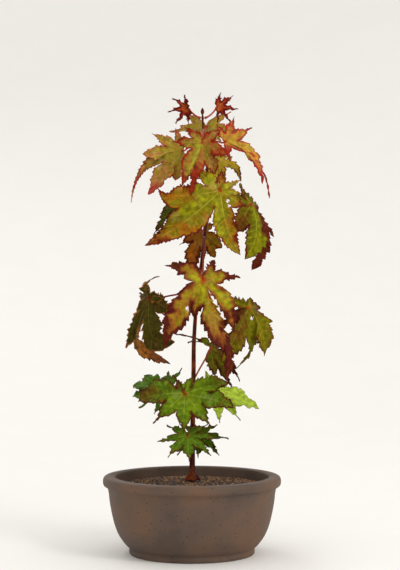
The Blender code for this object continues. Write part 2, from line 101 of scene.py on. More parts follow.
# The leaves are placed as they show from the front, by an eye level with the crown
EYE_X = 5.2
EYE_Z = 180.0
EYE_DISTANCE = 1000.0
CAMERA_DROP = 6.0  # below that eye, so that the picture's middle lies lower on the plant
CAMERA_LENS = 97.17  # shows 0.65 mm of the stem in each of the picture's 570 rows
CAMERA_SENSOR = 36.0

# Blade: the rule of the frame's leaves, carried to finer teeth and folds
WEB_SHARE = 0.42
BELLY = 0.44
BASE_ROUNDNESS = 0.8
TIP_STRAIGHTNESS = 0.45
LOBE_CLEARANCE = 0.46
MARGIN_EASE = 0.22
VEIN_SLANT = 0.15
ARCH_SHARE = 0.06
TURN_SHARE = 0.45
HOOK_SHARE = 0.22
FOLD = 14.0  # degrees that a half blade rises from its midrib
YOUNG_SPREAD = 40.0
YOUNG_SHORTENING = 0.08
TANGENT_STEP = 0.01
WEB_ROWS = 9
WEB_VEINS = 3
COLUMNS = 7
MERGE_DISTANCE = 0.015
# a lobe's strip in the bake map: where it starts and how long it is, and, as shares of its
# place, the room beside it and its width
STRIP_START, STRIP_LENGTH = 0.01, 0.48
STRIP_GAP, STRIP_WIDTH = 0.06, 0.88
VALUE_NAMES = ("aside_mm", "vein_count", "ripeness", "hub_mm")
# one tooth with a smaller one on its long side, as (way along, way out)
TOOTH = [(0.0, 0.0), (0.26, 0.40), (0.36, 0.26), (0.62, 0.72), (0.72, 0.66), (0.92, 1.0)]
TOOTH_TIP = 0.92
TOOTH_STAND = 0.25  # share of a tooth that stands out beyond the lobe's outline
BITE_RANGE = (0.45, 1.3)  # how deep one cut is, as a share of the set depth
LEAST_TEETH = 4
LEAST_HALF = 0.5  # share of a half lobe that a cut leaves
WIDTH_PLACES = (0.15, 0.3, 0.45, 0.6, 0.75, 0.9)
LEAST_SHOWN = 0.65  # the least share of its width that a tilted blade is taken to show
VEIN_SPACING = 3.6  # length of margin that one side vein feeds
SWELL_PLACES = 5
SWELL_CHANGE = 0.16
WAVE_RANGE = (2.2, 3.4)  # side veins in one wave of the margin
PLEAT_RISE = 0.9
PLEAT_WIDTH = 4.0  # a half lobe this wide has the full pleat where two lobes join
HEART_SHARE = 0.35
TIP_RIPENING = 0.12

# Midribs, hub and stalk
RIB_END = 0.94
RIB_TAPER = 0.6
RIB_TIP_RADIUS = 0.06
RIB_LEAST_SIZE = 0.45
RIB_GROWTH = 70.0  # a lobe that is longer by this has a midrib thicker by the set radius
RIB_RED_REACH = 9.0
RIB_TURNING = (0.1, 0.45)  # ripeness where a midrib starts to turn, and how much more it takes
RIB_SIDES = 6
HUB_RADIUS = 0.95
STALK_RADIUS = 0.6
STALK_WAIST = 0.92
STALK_BASE = (0.35, 2.5)  # how much thicker the stalk is where it leaves the stem, and how far
STALK_KNOB_LENGTH = 2.0
STALK_POINTS = 22
STALK_SIDES = 12
STALK_OUT_SHARE = 0.38
STALK_BACK_SHARE = 0.22
STALK_RISE = 0.12

# Pot and soil, as (radius, height)
POT_OUTSIDE = [
    (40.2, 0.0), (41.0, 0.8), (40.6, 4.5), (43.2, 5.7), (49.5, 15.0), (53.3, 31.0),
    (54.5, 43.5), (57.5, 44.2), (58.0, 46.75), (57.6, 49.1), (56.4, 50.0),
]
POT_INSIDE = [(37.0, 6.0), (41.0, 10.0), (49.5, 31.0), (50.1, 50.0)]
POT_STEPS = (0.65, 1.5)  # between the points of its outside and of its inside
POT_SEGMENTS = 160
CORNER_CUTS = 2
RING_PITCH = 2.6
TURN_SEGMENTS = 96
TURN_MERGE = 0.01
BED_FLOOR = POT_INSIDE[0][1] + GAP
BED_SIDE = [(49.1, 31.0), (40.6, 10.3), (36.6, BED_FLOOR), (0.0, BED_FLOOR)]
BED_RINGS = 24
GRAIN_STAND = 0.9  # how far the grains stand above the bed that they lie on
SOIL_EDGE_DROP = 3.0
SOIL_FLAT_RADIUS = 9.0
SOIL_RADIUS = 49.5

# Stage: a floor that rises at its edge, and soft lights in metres, as (name, place, size, colour,
# setting for the power)
FLOOR_FLAT = 700.0
FLOOR_REACH = 3600.0
FLOOR_RISE = 2600.0
FLOOR_CURVE = 2.2  # power of the share of the way out that its rise follows
FLOOR_RINGS = 24
LIGHT_AIM = (0.0, 0.0, 0.2)
LIGHTS = [
    ("key_softbox", (1.05, -1.0, 1.15), 0.55, (1.0, 0.985, 0.965), "key_power"),
    ("back_softbox", (-0.6, 1.2, 1.4), 0.8, (1.0, 0.99, 0.98), "fill_power"),
]

# A lobe: its bearing in degrees clockwise from straight up, its reach, its width or its half
# widths at WIDTH_PLACES (alike, or for each side), how far its midrib bows aside and its tip
# lies back, how its blade is turned, how far out it parts from the next lobe, how ripe it is, at
# its tip and from side to side, its fold on the clockwise side and the hook of its tip
Lobe = namedtuple(
    "Lobe", "bearing reach width bow push turn web ripe tip_ripe lean after hook",
    defaults=(0.0, 0.0, 0.0, 0.0, 0.0, 0.25, 0.0, FOLD, 0.0))
Palette = namedtuple("Palette", "heart lamina turned edge vein hub stalk bloom rim patch")


class Leaf(namedtuple(
        "Leaf", "pair side hub depth faces palette lobes teeth holes", defaults=((1, 1), ()))):
    """A leaf with its hub at (x, z) and a depth, the way that its blade faces, its lobes clockwise,
    how long and deep its teeth are, as shares of the set ones, and the holes bitten in it, as
    (x, z, radius)"""

    @property
    def name(self):
        """The leaf's node in the frame."""
        return f"leaf_{self.pair}_{self.side}"


def even_lobes(heading, reach, width, push):
    """Five lobes fanned evenly about a heading, shorter towards the stalk."""
    fan = []
    for step in range(-2, 3):
        share = 1.0 - YOUNG_SHORTENING * step * step
        fan.append(Lobe(
            heading + YOUNG_SPREAD * step, reach * share, width * share, 0.0, push * share,
            ripe=0.35, tip_ripe=0.4))
    return fan


# How wide a leaf's turned margin is and how patchy it is, then its colours from its heart
# through the lamina and the turned margin to the edge, and those of its veins, its hub, its
# stalk and the bloom of its bleached patches
PALETTES = {name: Palette(*codes.split(), rim, patch) for name, rim, patch, codes in (
    ("lower_green", 1.4, 0.25, "#5E7A14 #48660C #5A5A10 #543A0C #7C9830 #8A3A14 #6A2A10 #5E7222"),
    ("bright_green", 1.0, 0.20, "#AEC43E #9AB430 #A8BA3E #8CA02A #B8CE54 #9A9020 #6A4010 #AAC048"),
    ("soft_green", 1.5, 0.35, "#587C1C #46680E #546A14 #525216 #6C8A34 #6A4A20 #5E3814 #688438"),
    ("mid_green", 1.7, 0.40, "#6E840C #4E6A08 #5A4A0A #522A0C #84982C #B02C10 #8A3414 #6E8038"),
    ("back_olive", 1.8, 0.40, "#6C740E #62620C #6C3C0C #4E180A #8A8020 #A04014 #7A3414 #70703A"),
    # painted shade: the dark heart and lamina here are a leaf's green as it shows in the shade of
    # the leaves around it; its rust-brown turned margin is its own colour
    ("deep_green", 0.8, 0.30, "#443E0A #3C300A #B46E2C #7A442A #56540E #7A1E10 #7A120C #54401A"),
    ("olive", 2.0, 0.65, "#6E6A06 #645806 #6C3E0C #461A0A #98801A #B04A14 #7A1E10 #7A5634"),
    ("turning", 4.0, 0.38, "#A8A616 #928A18 #8E521C #561A12 #B88424 #B83214 #4A1410 #946E34"),
    ("rust", 2.0, 0.45, "#7E7010 #8C6010 #9A5612 #5E200A #A67620 #8A3010 #4A1410 #96703A"),
    ("veined_green", 1.4, 0.36, "#7C7A04 #646404 #6E3E0E #5C1C10 #9C9C20 #A8401A #7A2414 #6C5C28"),
    ("dark_green", 1.4, 0.25, "#4E5410 #40420C #4E2E0C #3A140A #5E6420 #6A2010 #6A1A10 #50501C"),
    ("yellow_green", 1.5, 0.50, "#9A9610 #78760A #9C600E #72240C #B0A436 #B83014 #9A4028 #A28648"),
    ("dull_olive", 1.4, 0.40, "#C8B030 #B29C24 #A2701E #6A2E12 #C8B248 #A0401C #8A4428 #BAA054"),
    ("flame", 1.7, 0.45, "#BEA034 #BC8A32 #B25234 #A42C20 #CCA242 #B83A1C #A84A30 #C4965A"),
    ("blush", 1.2, 0.45, "#A4942C #A4842C #B07840 #B04030 #B8A048 #B03A20 #A84A34 #BC9C70"),
    ("pale_heart", 1.8, 0.45, "#9A9A22 #86701C #985426 #8A2610 #B0A040 #B84A24 #A84A34 #A87844"),
    ("young_red", 2.0, 0.35, "#A0802A #A8581E #9A3016 #6A1610 #B87A38 #A0341C #9A3824 #B0703C"),
)}
RIM_LINE = "#2E0A08"

LEAVES = [
    Leaf(1, "front", (-3, 76), -22, (0.1, -0.5, 0.85), "lower_green", [
        Lobe(62, 15, 8, 0, 2), Lobe(96, 20, 9, 0, -4), Lobe(130, 20, 10, 0, -11),
        Lobe(176, 17, 11, 0, -15), Lobe(222, 19, 10, 0, -11), Lobe(258, 20, 9, 0, -4),
        Lobe(296, 15, 8, 0, 2)]),
    Leaf(1, "back", (4, 77), 22, (0, 0.5, 0.85), "lower_green", [
        Lobe(64, 14, 8, 0, -2), Lobe(98, 20, 9, 0, 4), Lobe(134, 19, 10, 0, 12),
        Lobe(180, 15, 11, 0, 17), Lobe(226, 19, 10, 0, 12), Lobe(262, 20, 9, 0, 4),
        Lobe(298, 14, 8, 0, -2)]),
    Leaf(2, "right", (15, 106), 7, (0.3, -0.45, 0.85), "bright_green", [
        Lobe(332, 13.5, 11, 0, 12), Lobe(22, 9, 8, 0, 14), Lobe(84, 12.5, 10, 0, 13),
        Lobe(113, 31, ((3.5, 5.5, 6.5, 5.6, 4.2, 2.2), (4, 6, 7, 6, 4.4, 2.2)), 0, 2, web=13),
        Lobe(141, 26, 11, 0, -4, web=12), Lobe(172, 22, 10, 0, -7)], (0.7, 0.6)),
    Leaf(2, "left", (-17.6, 104.5), 12, (-0.3, -0.35, 0.9), "soft_green", [
        Lobe(205, 16, 8, 0, -7), Lobe(238, 20, 11, 0, -6),
        Lobe(262, 21, (3, 4.8, 5.6, 5.6, 4.8, 3.2), web=13.5),
        Lobe(280, 21, (3.4, 5.2, 6, 6, 5, 3.4), 2, 9, web=12.5),
        Lobe(308, 17, (3, 4.6, 5.6, 5.6, 4.8, 3.2), 0, 14, web=8.5),
        Lobe(10, 14, 10, 0, 15), Lobe(36, 19, 8, 0, 6)], (0.8, 0.6)),
    Leaf(3, "front", (-4.9, 103), -20, (0, -0.62, 0.78), "mid_green", [
        Lobe(24, 13.6, 8, 0, 5, ripe=-0.15, tip_ripe=0.1),
        Lobe(77, 30, ((4, 5.2, 5.6, 5.4, 4.4, 2.6), (3.5, 4.4, 4.8, 4.4, 3.4, 2)), -1, 2,
             web=16, ripe=-0.1, tip_ripe=0.5),
        Lobe(105, 33, ((3.5, 5, 6, 6, 4.6, 2.6), (4, 6, 7, 6.6, 5, 2.6)), -1, -6,
             web=14, tip_ripe=0.4),
        Lobe(141, 28, 13, 0, -12, web=13), Lobe(181, 26, 13, 0, -15, web=13),
        Lobe(227, 28, 13, 0, -12, web=14),
        Lobe(261, 30.5, ((4, 6, 7, 6.6, 5, 2.8), (4, 6.4, 7.4, 7.2, 5.6, 3.2)), 2, -3,
             ripe=0.15, tip_ripe=0.45),
        Lobe(330, 14.5, 5, 0, 5, ripe=0.5)], (0.8, 0.7)),
    Leaf(3, "back", (12, 133.6), 22, (0.1, 0.75, 0.65), "back_olive", [
        Lobe(281, 15, (1.2, 1.4, 1.3, 1, 0.7, 0.4), 2, 4, 45),
        Lobe(290, 24, (1.2, 1.4, 1.2, 0.8, 0.6, 0.4), 2, 9, 45),
        Lobe(30, 8, 6, 0, 14), Lobe(80, 12, 7, 0, 15, ripe=0.4),
        Lobe(139, 29, 9, -2, 6, ripe=0.3), Lobe(152, 31.5, 9, 0, 1, ripe=0.2),
        Lobe(171, 21, 11, 0, -3)]),
    # its palette darkens its greens as painted shade
    Leaf(4, "left", (-28.3, 165.4), 0, (-0.45, -0.8, 0.4), "deep_green", [
        Lobe(119, 17, ((3, 4.4, 5, 4.8, 4.2, 3.2), (3, 4, 4.5, 4.5, 4.2, 3.4)), 0, -4, web=11),
        Lobe(149, 33.4, ((3.5, 5.5, 9, 10.5, 8, 3), (2.8, 3.9, 4.8, 6.2, 7.8, 6)),
             (5, 9.2, 10), -6, web=10.6, tip_ripe=0.1),
        Lobe(161.8, 44.8, ((1.1, 1.4, 2.2, 4.4, 4, 2.2), (3.5, 3.9, 3, 2.2, 2.4, 2.2)),
             (9, 15.5, 12.5), 3, web=27, ripe=0.1, tip_ripe=0.75),
        Lobe(204, 35.5, ((1.8, 2.4, 2.5, 2.4, 1.8, 1.2), (1.8, 2.2, 2, 1.8, 1.6, 1)), 2, 10,
             tip_ripe=0.1),
        Lobe(300, 7, 6, 0, 16, tip_ripe=0.0),
        Lobe(27.5, 15.8, ((4, 3.4, 2.4, 1.2, 0.7, 0.4), (2.6, 3, 2, 1, 0.6, 0.4)), -5.4, 6, 30,
             ripe=0.12, tip_ripe=0.15),
        Lobe(85, 10, (2, 3, 3.4, 3.2, 2.8, 2), tip_ripe=0.05)], (0.9, 1.0)),
    Leaf(4, "right", (36.9, 159.5), 2, (0.35, -0.82, 0.45), "olive", [
        Lobe(289, 14, ((2, 3, 3.4, 3.6, 3.4, 2.6), (2.2, 3.2, 3.8, 4, 3.8, 3)), 0, 4,
             web=4.5, ripe=-0.2),
        Lobe(8, 6.5, ((1.4, 1.5, 1.3, 1.1, 0.8, 0.5), (2.4, 2.6, 2.2, 1.6, 1, 0.5)), 0, 4,
             web=4.5),
        Lobe(78, 6.5, 9, 0, 12, web=5.5),
        Lobe(162.5, 33.3, ((3.3, 5.9, 8.2, 6.6, 4.8, 1.8), (2.5, 4, 5.8, 6.6, 4.8, 1.4)), -3.3, 5,
             web=15, ripe=-0.05, tip_ripe=-0.1),
        Lobe(192.5, 41, (1.3, 1.5, 1.4, 1.2, 1, 0.6), -8, 12, 40, web=19, ripe=-0.6),
        Lobe(207, 40, ((3, 5.2, 7.4, 8, 7.2, 4.5), (3, 4.4, 5, 5.2, 4, 2)), -1, -3,
             ripe=0.4, tip_ripe=-0.35),
        Lobe(236, 23.5, ((2, 3, 3.6, 3.6, 2.8, 1.4), (2, 3.2, 3.8, 3.6, 2.8, 1.4)), 0, 3,
             ripe=0.6)],
        (1.1, 1.1), ((39.1, 152.4, 1.1),)),
    Leaf(5, "front", (7.1, 177), -24, (0.05, -0.93, 0.35), "turning", [
        Lobe(30, 15, ((1.5, 2, 2.4, 2.7, 2.6, 2.2), (1.5, 2.2, 2.9, 3, 2.6, 1.6)), 0, 4,
             web=10, ripe=0.1, tip_ripe=0.4),
        Lobe(86, 24.5, ((2, 2.6, 3, 3.2, 1.3, 0.9), (3, 4.4, 4.6, 3.2, 3, 1)), -1.9, 4,
             web=10.5, ripe=-0.05, tip_ripe=0.6),
        Lobe(148, 37.7, ((3.5, 6.5, 8, 8.2, 6.5, 3.5), (1.2, 1.2, 1.4, 2, 2.2, 1.6)), -1.5, -2,
             web=6, ripe=-0.1, tip_ripe=0.45),
        Lobe(166.8, 67.9, ((1.2, 3.6, 4, 2.2, 1.6, 1.4), (4, 8, 11, 8.2, 4.2, 3)),
             (-1.3, -3.5, -6.5), -5, 20, web=16.4, ripe=-0.1, tip_ripe=1.5, lean=0.3),
        Lobe(195, 24.5, ((1.5, 2.2, 2.8, 3.2, 3.4, 2.6), (2, 3, 3.8, 4.2, 4.5, 3)), 0, 1,
             web=17, ripe=0.1),
        Lobe(209.8, 51.9, ((2.5, 3.6, 7.4, 8.6, 4.8, 1.6), (4, 6.8, 8.6, 7.6, 5, 1.8)), 3.1, -3,
             web=7.8, ripe=0.15, tip_ripe=0.6, lean=0.12),
        Lobe(291.3, 26.7, ((2.5, 4.8, 5.2, 4.2, 1.6, 1), (4, 6, 6.6, 5.4, 4, 1.4)), 1.5, 4,
             ripe=0.15, tip_ripe=0.5, lean=0.2)],
        (1.2, 1.2), ((-2.9, 158.9, 0.9), (-2.5, 156.9, 0.8))),
    Leaf(5, "back", (6.5, 209), 16, (0, 0.85, 0.5), "rust", [
        Lobe(60, 10, 8, 0, 10),
        Lobe(130, 17, ((2.5, 3.8, 4.4, 4.2, 3.4, 2.2), (2.5, 3.8, 4.4, 4.4, 3.8, 2.6)), 0, 4,
             web=10),
        Lobe(154, 19, ((2.5, 3.8, 4.6, 4.4, 3.4, 2.2), (2.5, 3.8, 4.6, 4.4, 3.6, 2.4)), 0, 1,
             web=11.5),
        Lobe(174, 18, 8, 0, -2, web=10.5, ripe=0.3),
        Lobe(197, 28, ((2.6, 4, 5, 5.2, 4.4, 2.6), (3, 4.6, 5.6, 5.8, 5, 3)), 1, 2,
             web=9, ripe=0.35),
        Lobe(239, 17, 9, 0, 5, ripe=0.4), Lobe(300, 10, 8, 0, 10, ripe=0.4)], (0.9, 0.9)),
    Leaf(6, "right", (38.6, 226.5), 0, (0.5, -0.75, 0.45), "veined_green", [
        Lobe(288, 14, ((2.5, 4, 4.6, 4.8, 4.4, 3), (2.5, 4, 5, 5.2, 4.6, 3)), 0, 3,
             web=5, ripe=0.1),
        Lobe(331, 15.6, ((2.4, 2.8, 2.6, 2.2, 1.6, 1), (2, 2.6, 2.4, 2, 1.4, 0.9)), -0.8, 10,
             ripe=0.15, tip_ripe=0.1),
        Lobe(95, 4, 6, 0, 18),
        Lobe(145, 25.6, ((1, 1.2, 1.4, 1.4, 1.3, 1), (1.5, 2, 2.4, 2.4, 2, 1.2)), 0, 8,
             ripe=0.6, tip_ripe=0.5),
        Lobe(179.6, 42.8, ((1.5, 1.8, 2.2, 3, 3.2, 3), (1.5, 2.4, 3, 3.4, 3.8, 3.6)),
             (-8, -9.5, -7.1), 5, ripe=0.75, tip_ripe=0.4),
        Lobe(186.6, 36, ((3, 6.4, 8, 8.2, 6.6, 3.2), (3, 5, 6.6, 7.8, 5.8, 2.8)), -5.4, -4,
             web=13.5, ripe=-0.1, tip_ripe=0.15, lean=0.35),
        Lobe(210, 20.5, ((3, 4.5, 6, 6.4, 5.4, 3.5), (4, 6, 7, 6.6, 5.4, 3.4)), 0, -2,
             ripe=0.3)]),
    Leaf(6, "left", (-9.1, 230.1), 0, (-0.4, -0.8, 0.45), "dark_green", [
        Lobe(178, 18, 9, 0, -4), Lobe(200, 22, 11, 0, -3), Lobe(214, 28.5, 12, 0, 2),
        Lobe(229, 15, 8, 0, 9), Lobe(285, 7, 7, 0, 12), Lobe(340, 8, 6, 0, 8)]),
    Leaf(7, "front", (18.5, 235.2), -24, (0, -0.95, 0.3), "yellow_green", [
        Lobe(4, 14.3, 7, 0, 3, ripe=0.5), Lobe(61.7, 14.8, 6, 0, 4, ripe=-0.2),
        Lobe(98, 14, 7.5, 0, 4, web=8, ripe=-0.1), Lobe(123, 19, 11, 0, 3, web=14, ripe=0.2),
        Lobe(162.8, 43.8, ((4, 5.5, 5.4, 5.4, 3.8, 1.9), (3.4, 5, 7.6, 7.8, 6.2, 3.2)), 2.8, -2,
             web=12, ripe=0.1, tip_ripe=0.4, lean=-0.25),
        Lobe(233.9, 60.7, ((6, 9.4, 11.6, 9.4, 6, 3), (4.5, 6.2, 7.6, 6, 5.4, 2.6)), -2.4, -4,
             web=31, tip_ripe=0.75, lean=-0.15, after=4.0),
        Lobe(264, 41, ((5, 4.6, 6.8, 7.2, 4.6, 1.5), (4, 6.8, 6.8, 6.8, 4.4, 1.3)), -1, -6,
             web=8.6, ripe=0.15, tip_ripe=0.5, hook=6.4),
        Lobe(311, 20.5, ((2.5, 3.6, 4.2, 4.2, 3.4, 2.2), (2.5, 4.2, 5.2, 5, 4, 2.4)), 0, 3,
             ripe=-0.1)],
        (0.6, 0.75), ((23.3, 228.4, 1.1), (24.2, 225.2, 0.9))),
    Leaf(7, "back", (15.6, 254.8), 14, (0.2, 0.8, 0.55), "dull_olive", [
        Lobe(20, 9, 6, 0, 8), Lobe(75, 11, 7, 0, 12),
        Lobe(130, 21, ((2, 2.6, 2.8, 2.4, 1.8, 1), (1.5, 2.2, 2.4, 2.2, 1.6, 0.9)), -4.5, 6),
        Lobe(156, 16, 9, 0, 3, web=9), Lobe(186, 17, 9, 0, 1, web=9), Lobe(213, 14, 8, 0, 3),
        Lobe(262, 10, 6, 0, 9)], (0.8, 0.7)),
    Leaf(8, "right", (21.5, 267), 0, (0.35, -0.65, 0.65), "flame", [
        Lobe(335, 13, 7, 0, 4, ripe=0.2), Lobe(20, 17, 9, 0, 6, ripe=0.2),
        Lobe(62, 20, 10, 0, 5, ripe=0.2),
        Lobe(138, 36.5, ((3, 3.8, 3.8, 3.4, 2.2, 1.2), (2.6, 3.4, 3.4, 2.8, 2, 1.1)), -6.4, -2,
             ripe=-0.1, tip_ripe=0.95, lean=0.15),
        Lobe(142, 46.5, (1.5, 1.8, 1.8, 1.3, 0.8, 0.5), -8, 7, 40, ripe=0.3),
        Lobe(165, 13, 5, 0, -3, ripe=0.6)], (0.7, 0.6)),
    Leaf(8, "left", (-5.9, 261.3), 0, (-0.4, -0.75, 0.5), "blush", [
        Lobe(194, 20, ((3, 4.2, 4.8, 4.8, 4.2, 2.8), (3, 4.2, 4.8, 4.8, 4, 2.6)), 0, -2,
             web=12, ripe=0.2),
        Lobe(218, 36.4, ((3, 5, 6, 5.4, 4, 2.2), (3, 5.4, 6.6, 5.6, 4, 2.2)), 0, -4,
             web=13, ripe=-0.1, tip_ripe=1.1),
        Lobe(225, 47.5, ((2, 3.2, 3.4, 2, 0.9, 0.5), (2, 3.2, 3.6, 2.2, 1, 0.5)), 10, 6, 40,
             web=11, ripe=0.1, tip_ripe=0.3),
        Lobe(265, 26.2, ((3.4, 4.6, 5.4, 6, 5.6, 2.6), (3, 4.4, 4.6, 4.4, 4, 2)), 0, 2,
             ripe=-0.15, tip_ripe=0.6, lean=0.1),
        Lobe(299, 23, 10, 0, 5, ripe=0.1), Lobe(342, 15, 8, 0, 3, ripe=0.1)], (0.65, 0.65)),
    Leaf(9, "front", (6.8, 266.3), -16, (0, -0.9, 0.45), "pale_heart", [
        Lobe(54, 16, 8.5, 0, 2, ripe=0.3),
        Lobe(116, 18, ((2.5, 3.6, 4.4, 4.4, 3.6, 2.2), (2.5, 4, 4.8, 4.8, 4, 2.4)), 0, -2,
             web=9, ripe=0.4),
        Lobe(158, 22, ((2.5, 4, 4.8, 4.8, 4, 2.4), (2.5, 4, 4.6, 4.4, 3.6, 2.2)), 0, 2,
             web=13, ripe=0.15),
        Lobe(192.5, 36, ((1.5, 2.4, 3, 2.8, 2.2, 1.4), (1.5, 2.4, 2.8, 2.6, 2.2, 1.4)), 0, -15,
             web=14, ripe=0.5, tip_ripe=0.4),
        Lobe(205.5, 31, ((3, 4.6, 4.6, 4, 2.6, 1.4), (4.5, 7.2, 7.8, 6, 3.6, 1.6)), 0, -12,
             web=9, ripe=-0.1, tip_ripe=0.6, lean=0.25),
        Lobe(272, 20, 10, 0, 1, ripe=0.2), Lobe(312, 15.5, 8, 0, 3, ripe=0.2)], (0.75, 0.7)),
    Leaf(9, "back", (9, 277), 18, (0, 0.6, 0.8), "blush", [
        Lobe(60, 19, 8, 0, 6), Lobe(98, 24, 10, 0, 13), Lobe(136, 15, 11, 0, 24),
        Lobe(180, 10, 12, 0, 29), Lobe(224, 15, 11, 0, 24), Lobe(262, 24, 10, 0, 13),
        Lobe(300, 19, 8, 0, 6)]),
    Leaf(10, "left", (-2, 288.5), -3, (-0.5, -0.5, 0.8), "young_red", even_lobes(262, 14, 7.5, -5)),
    Leaf(10, "right", (16, 289.5), 4, (0.5, -0.5, 0.8), "young_red", even_lobes(95, 14, 7.5, 5)),
]


# Colours and settings

def linear(code):
    """A colour for a shader from its sRGB hex value."""
    values = [int(code[i:i + 2], 16) / 255.0 for i in (1, 3, 5)]
    return (
        *(v / 12.92 if v <= 0.04045 else ((v + 0.055) / 1.055) ** 2.4 for v in values), 1.0)


def length(name, description, size, least, most):
    """A setting for a length, from millimetres."""
    return FloatProperty(
        name=name, description=description, default=size * MM, min=least * MM, max=most * MM,
        precision=5, unit="LENGTH")


def hue(name, description, code):
    """A setting for a colour, from its sRGB hex value."""
    return FloatVectorProperty(
        name=name, description=description, default=linear(code)[:3], min=0.0, max=1.0,
        subtype="COLOR")


class MapleLeafSettings(bpy.types.PropertyGroup):
    thickness: length("Blade thickness", "Thickness of a leaf's blade", 0.3, 0.1, 1.0)
    tooth_length: length("Tooth length", "Length of margin that one tooth takes up", 4.0, 1.5, 8.0)
    tooth_depth: length(
        "Tooth depth", "How deep the margin is cut between its teeth", 2.1, 0.0, 4.0)
    puff: length("Puff", "How far the blade rises between its side veins", 0.38, 0.0, 1.5)
    wave: length("Wave", "How far the margin waves up and down", 0.7, 0.0, 3.0)
    rib_radius: length("Midrib radius", "Radius of a midrib at the leaf's hub", 0.28, 0.1, 1.0)
    seed: IntProperty(
        name="Seed", description="Sets how the teeth and waves differ from leaf to leaf",
        default=7, min=0)


class MapleStemSettings(bpy.types.PropertyGroup):
    shade: hue("Bark in shade", "Darkest colour of the young bark", "#200A04")
    light: hue("Bark in light", "Brightest colour of the young bark", "#86401C")
    relief: length("Bark relief", "Depth of the fine ridges along the stem", 0.14, 0.0, 0.5)
    lenticel: length("Lenticel size", "Size of the small pale pores on the bark", 0.16, 0.0, 0.6)


class MaplePotSettings(bpy.types.PropertyGroup):
    clay: hue("Clay", "Colour of the unglazed stoneware", "#5A4638")
    ring_depth: length(
        "Throwing rings", "Depth of the rings left by turning the pot", 0.12, 0.0, 1.0)


class MapleSoilSettings(bpy.types.PropertyGroup):
    grain: length("Grain size", "Radius of an average soil grain", 1.15, 0.4, 3.0)
    density: FloatProperty(
        name="Grain density", description="Number of grains on a square metre of soil",
        default=190000.0, min=0.0)
    seed: IntProperty(name="Seed", description="Sets where the grains lie", default=3, min=0)


class MapleStageSettings(bpy.types.PropertyGroup):
    paper: hue("Paper", "Colour of the pale floor and its rising edge", "#F5F3F0")
    room: FloatProperty(
        name="Room light", description="Brightness of the white room above the floor", default=0.94)
    key_power: FloatProperty(
        name="Key light", description="Power of the soft light at the front", default=9.0,
        unit="POWER")
    fill_power: FloatProperty(
        name="Back light", description="Power of the soft light behind", default=3.5,
        unit="POWER")
    camera_distance: length(
        "Camera distance", "Distance from the camera to the stem", EYE_DISTANCE, 200.0, 5000.0)


# Nodes and materials

def feed(tree, node, inputs):
    """Sets a node's sockets, each to its value or to the socket that feeds it."""
    for socket, value in inputs.items():
        if isinstance(value, bpy.types.NodeSocket):
            tree.links.new(value, node.inputs[socket])
        else:
            node.inputs[socket].default_value = value


def add_node(tree, kind, inputs=None, out=0, stops=None, **settings):
    """Adds a node and gives one of its outputs, or all of them where out is None."""
    node = tree.nodes.new(kind)
    for name, value in settings.items():
        setattr(node, name, value)
    feed(tree, node, inputs or {})
    if stops:
        points = node.color_ramp.elements
        while len(points) < len(stops):
            points.new(0.5)
        for point, (place, colour) in zip(points, stops):
            point.position = place
            point.color = linear(colour) if isinstance(colour, str) else colour
    return node.outputs if out is None else node.outputs[out]


def new_material(name):
    """A material, its node tree, the Object coordinates in it and its surface shader."""
    material = bpy.data.materials.new(name)
    material.use_nodes = True
    tree = material.node_tree
    place = add_node(tree, "ShaderNodeTexCoord", out="Object")
    return material, tree, place, tree.nodes["Principled BSDF"]


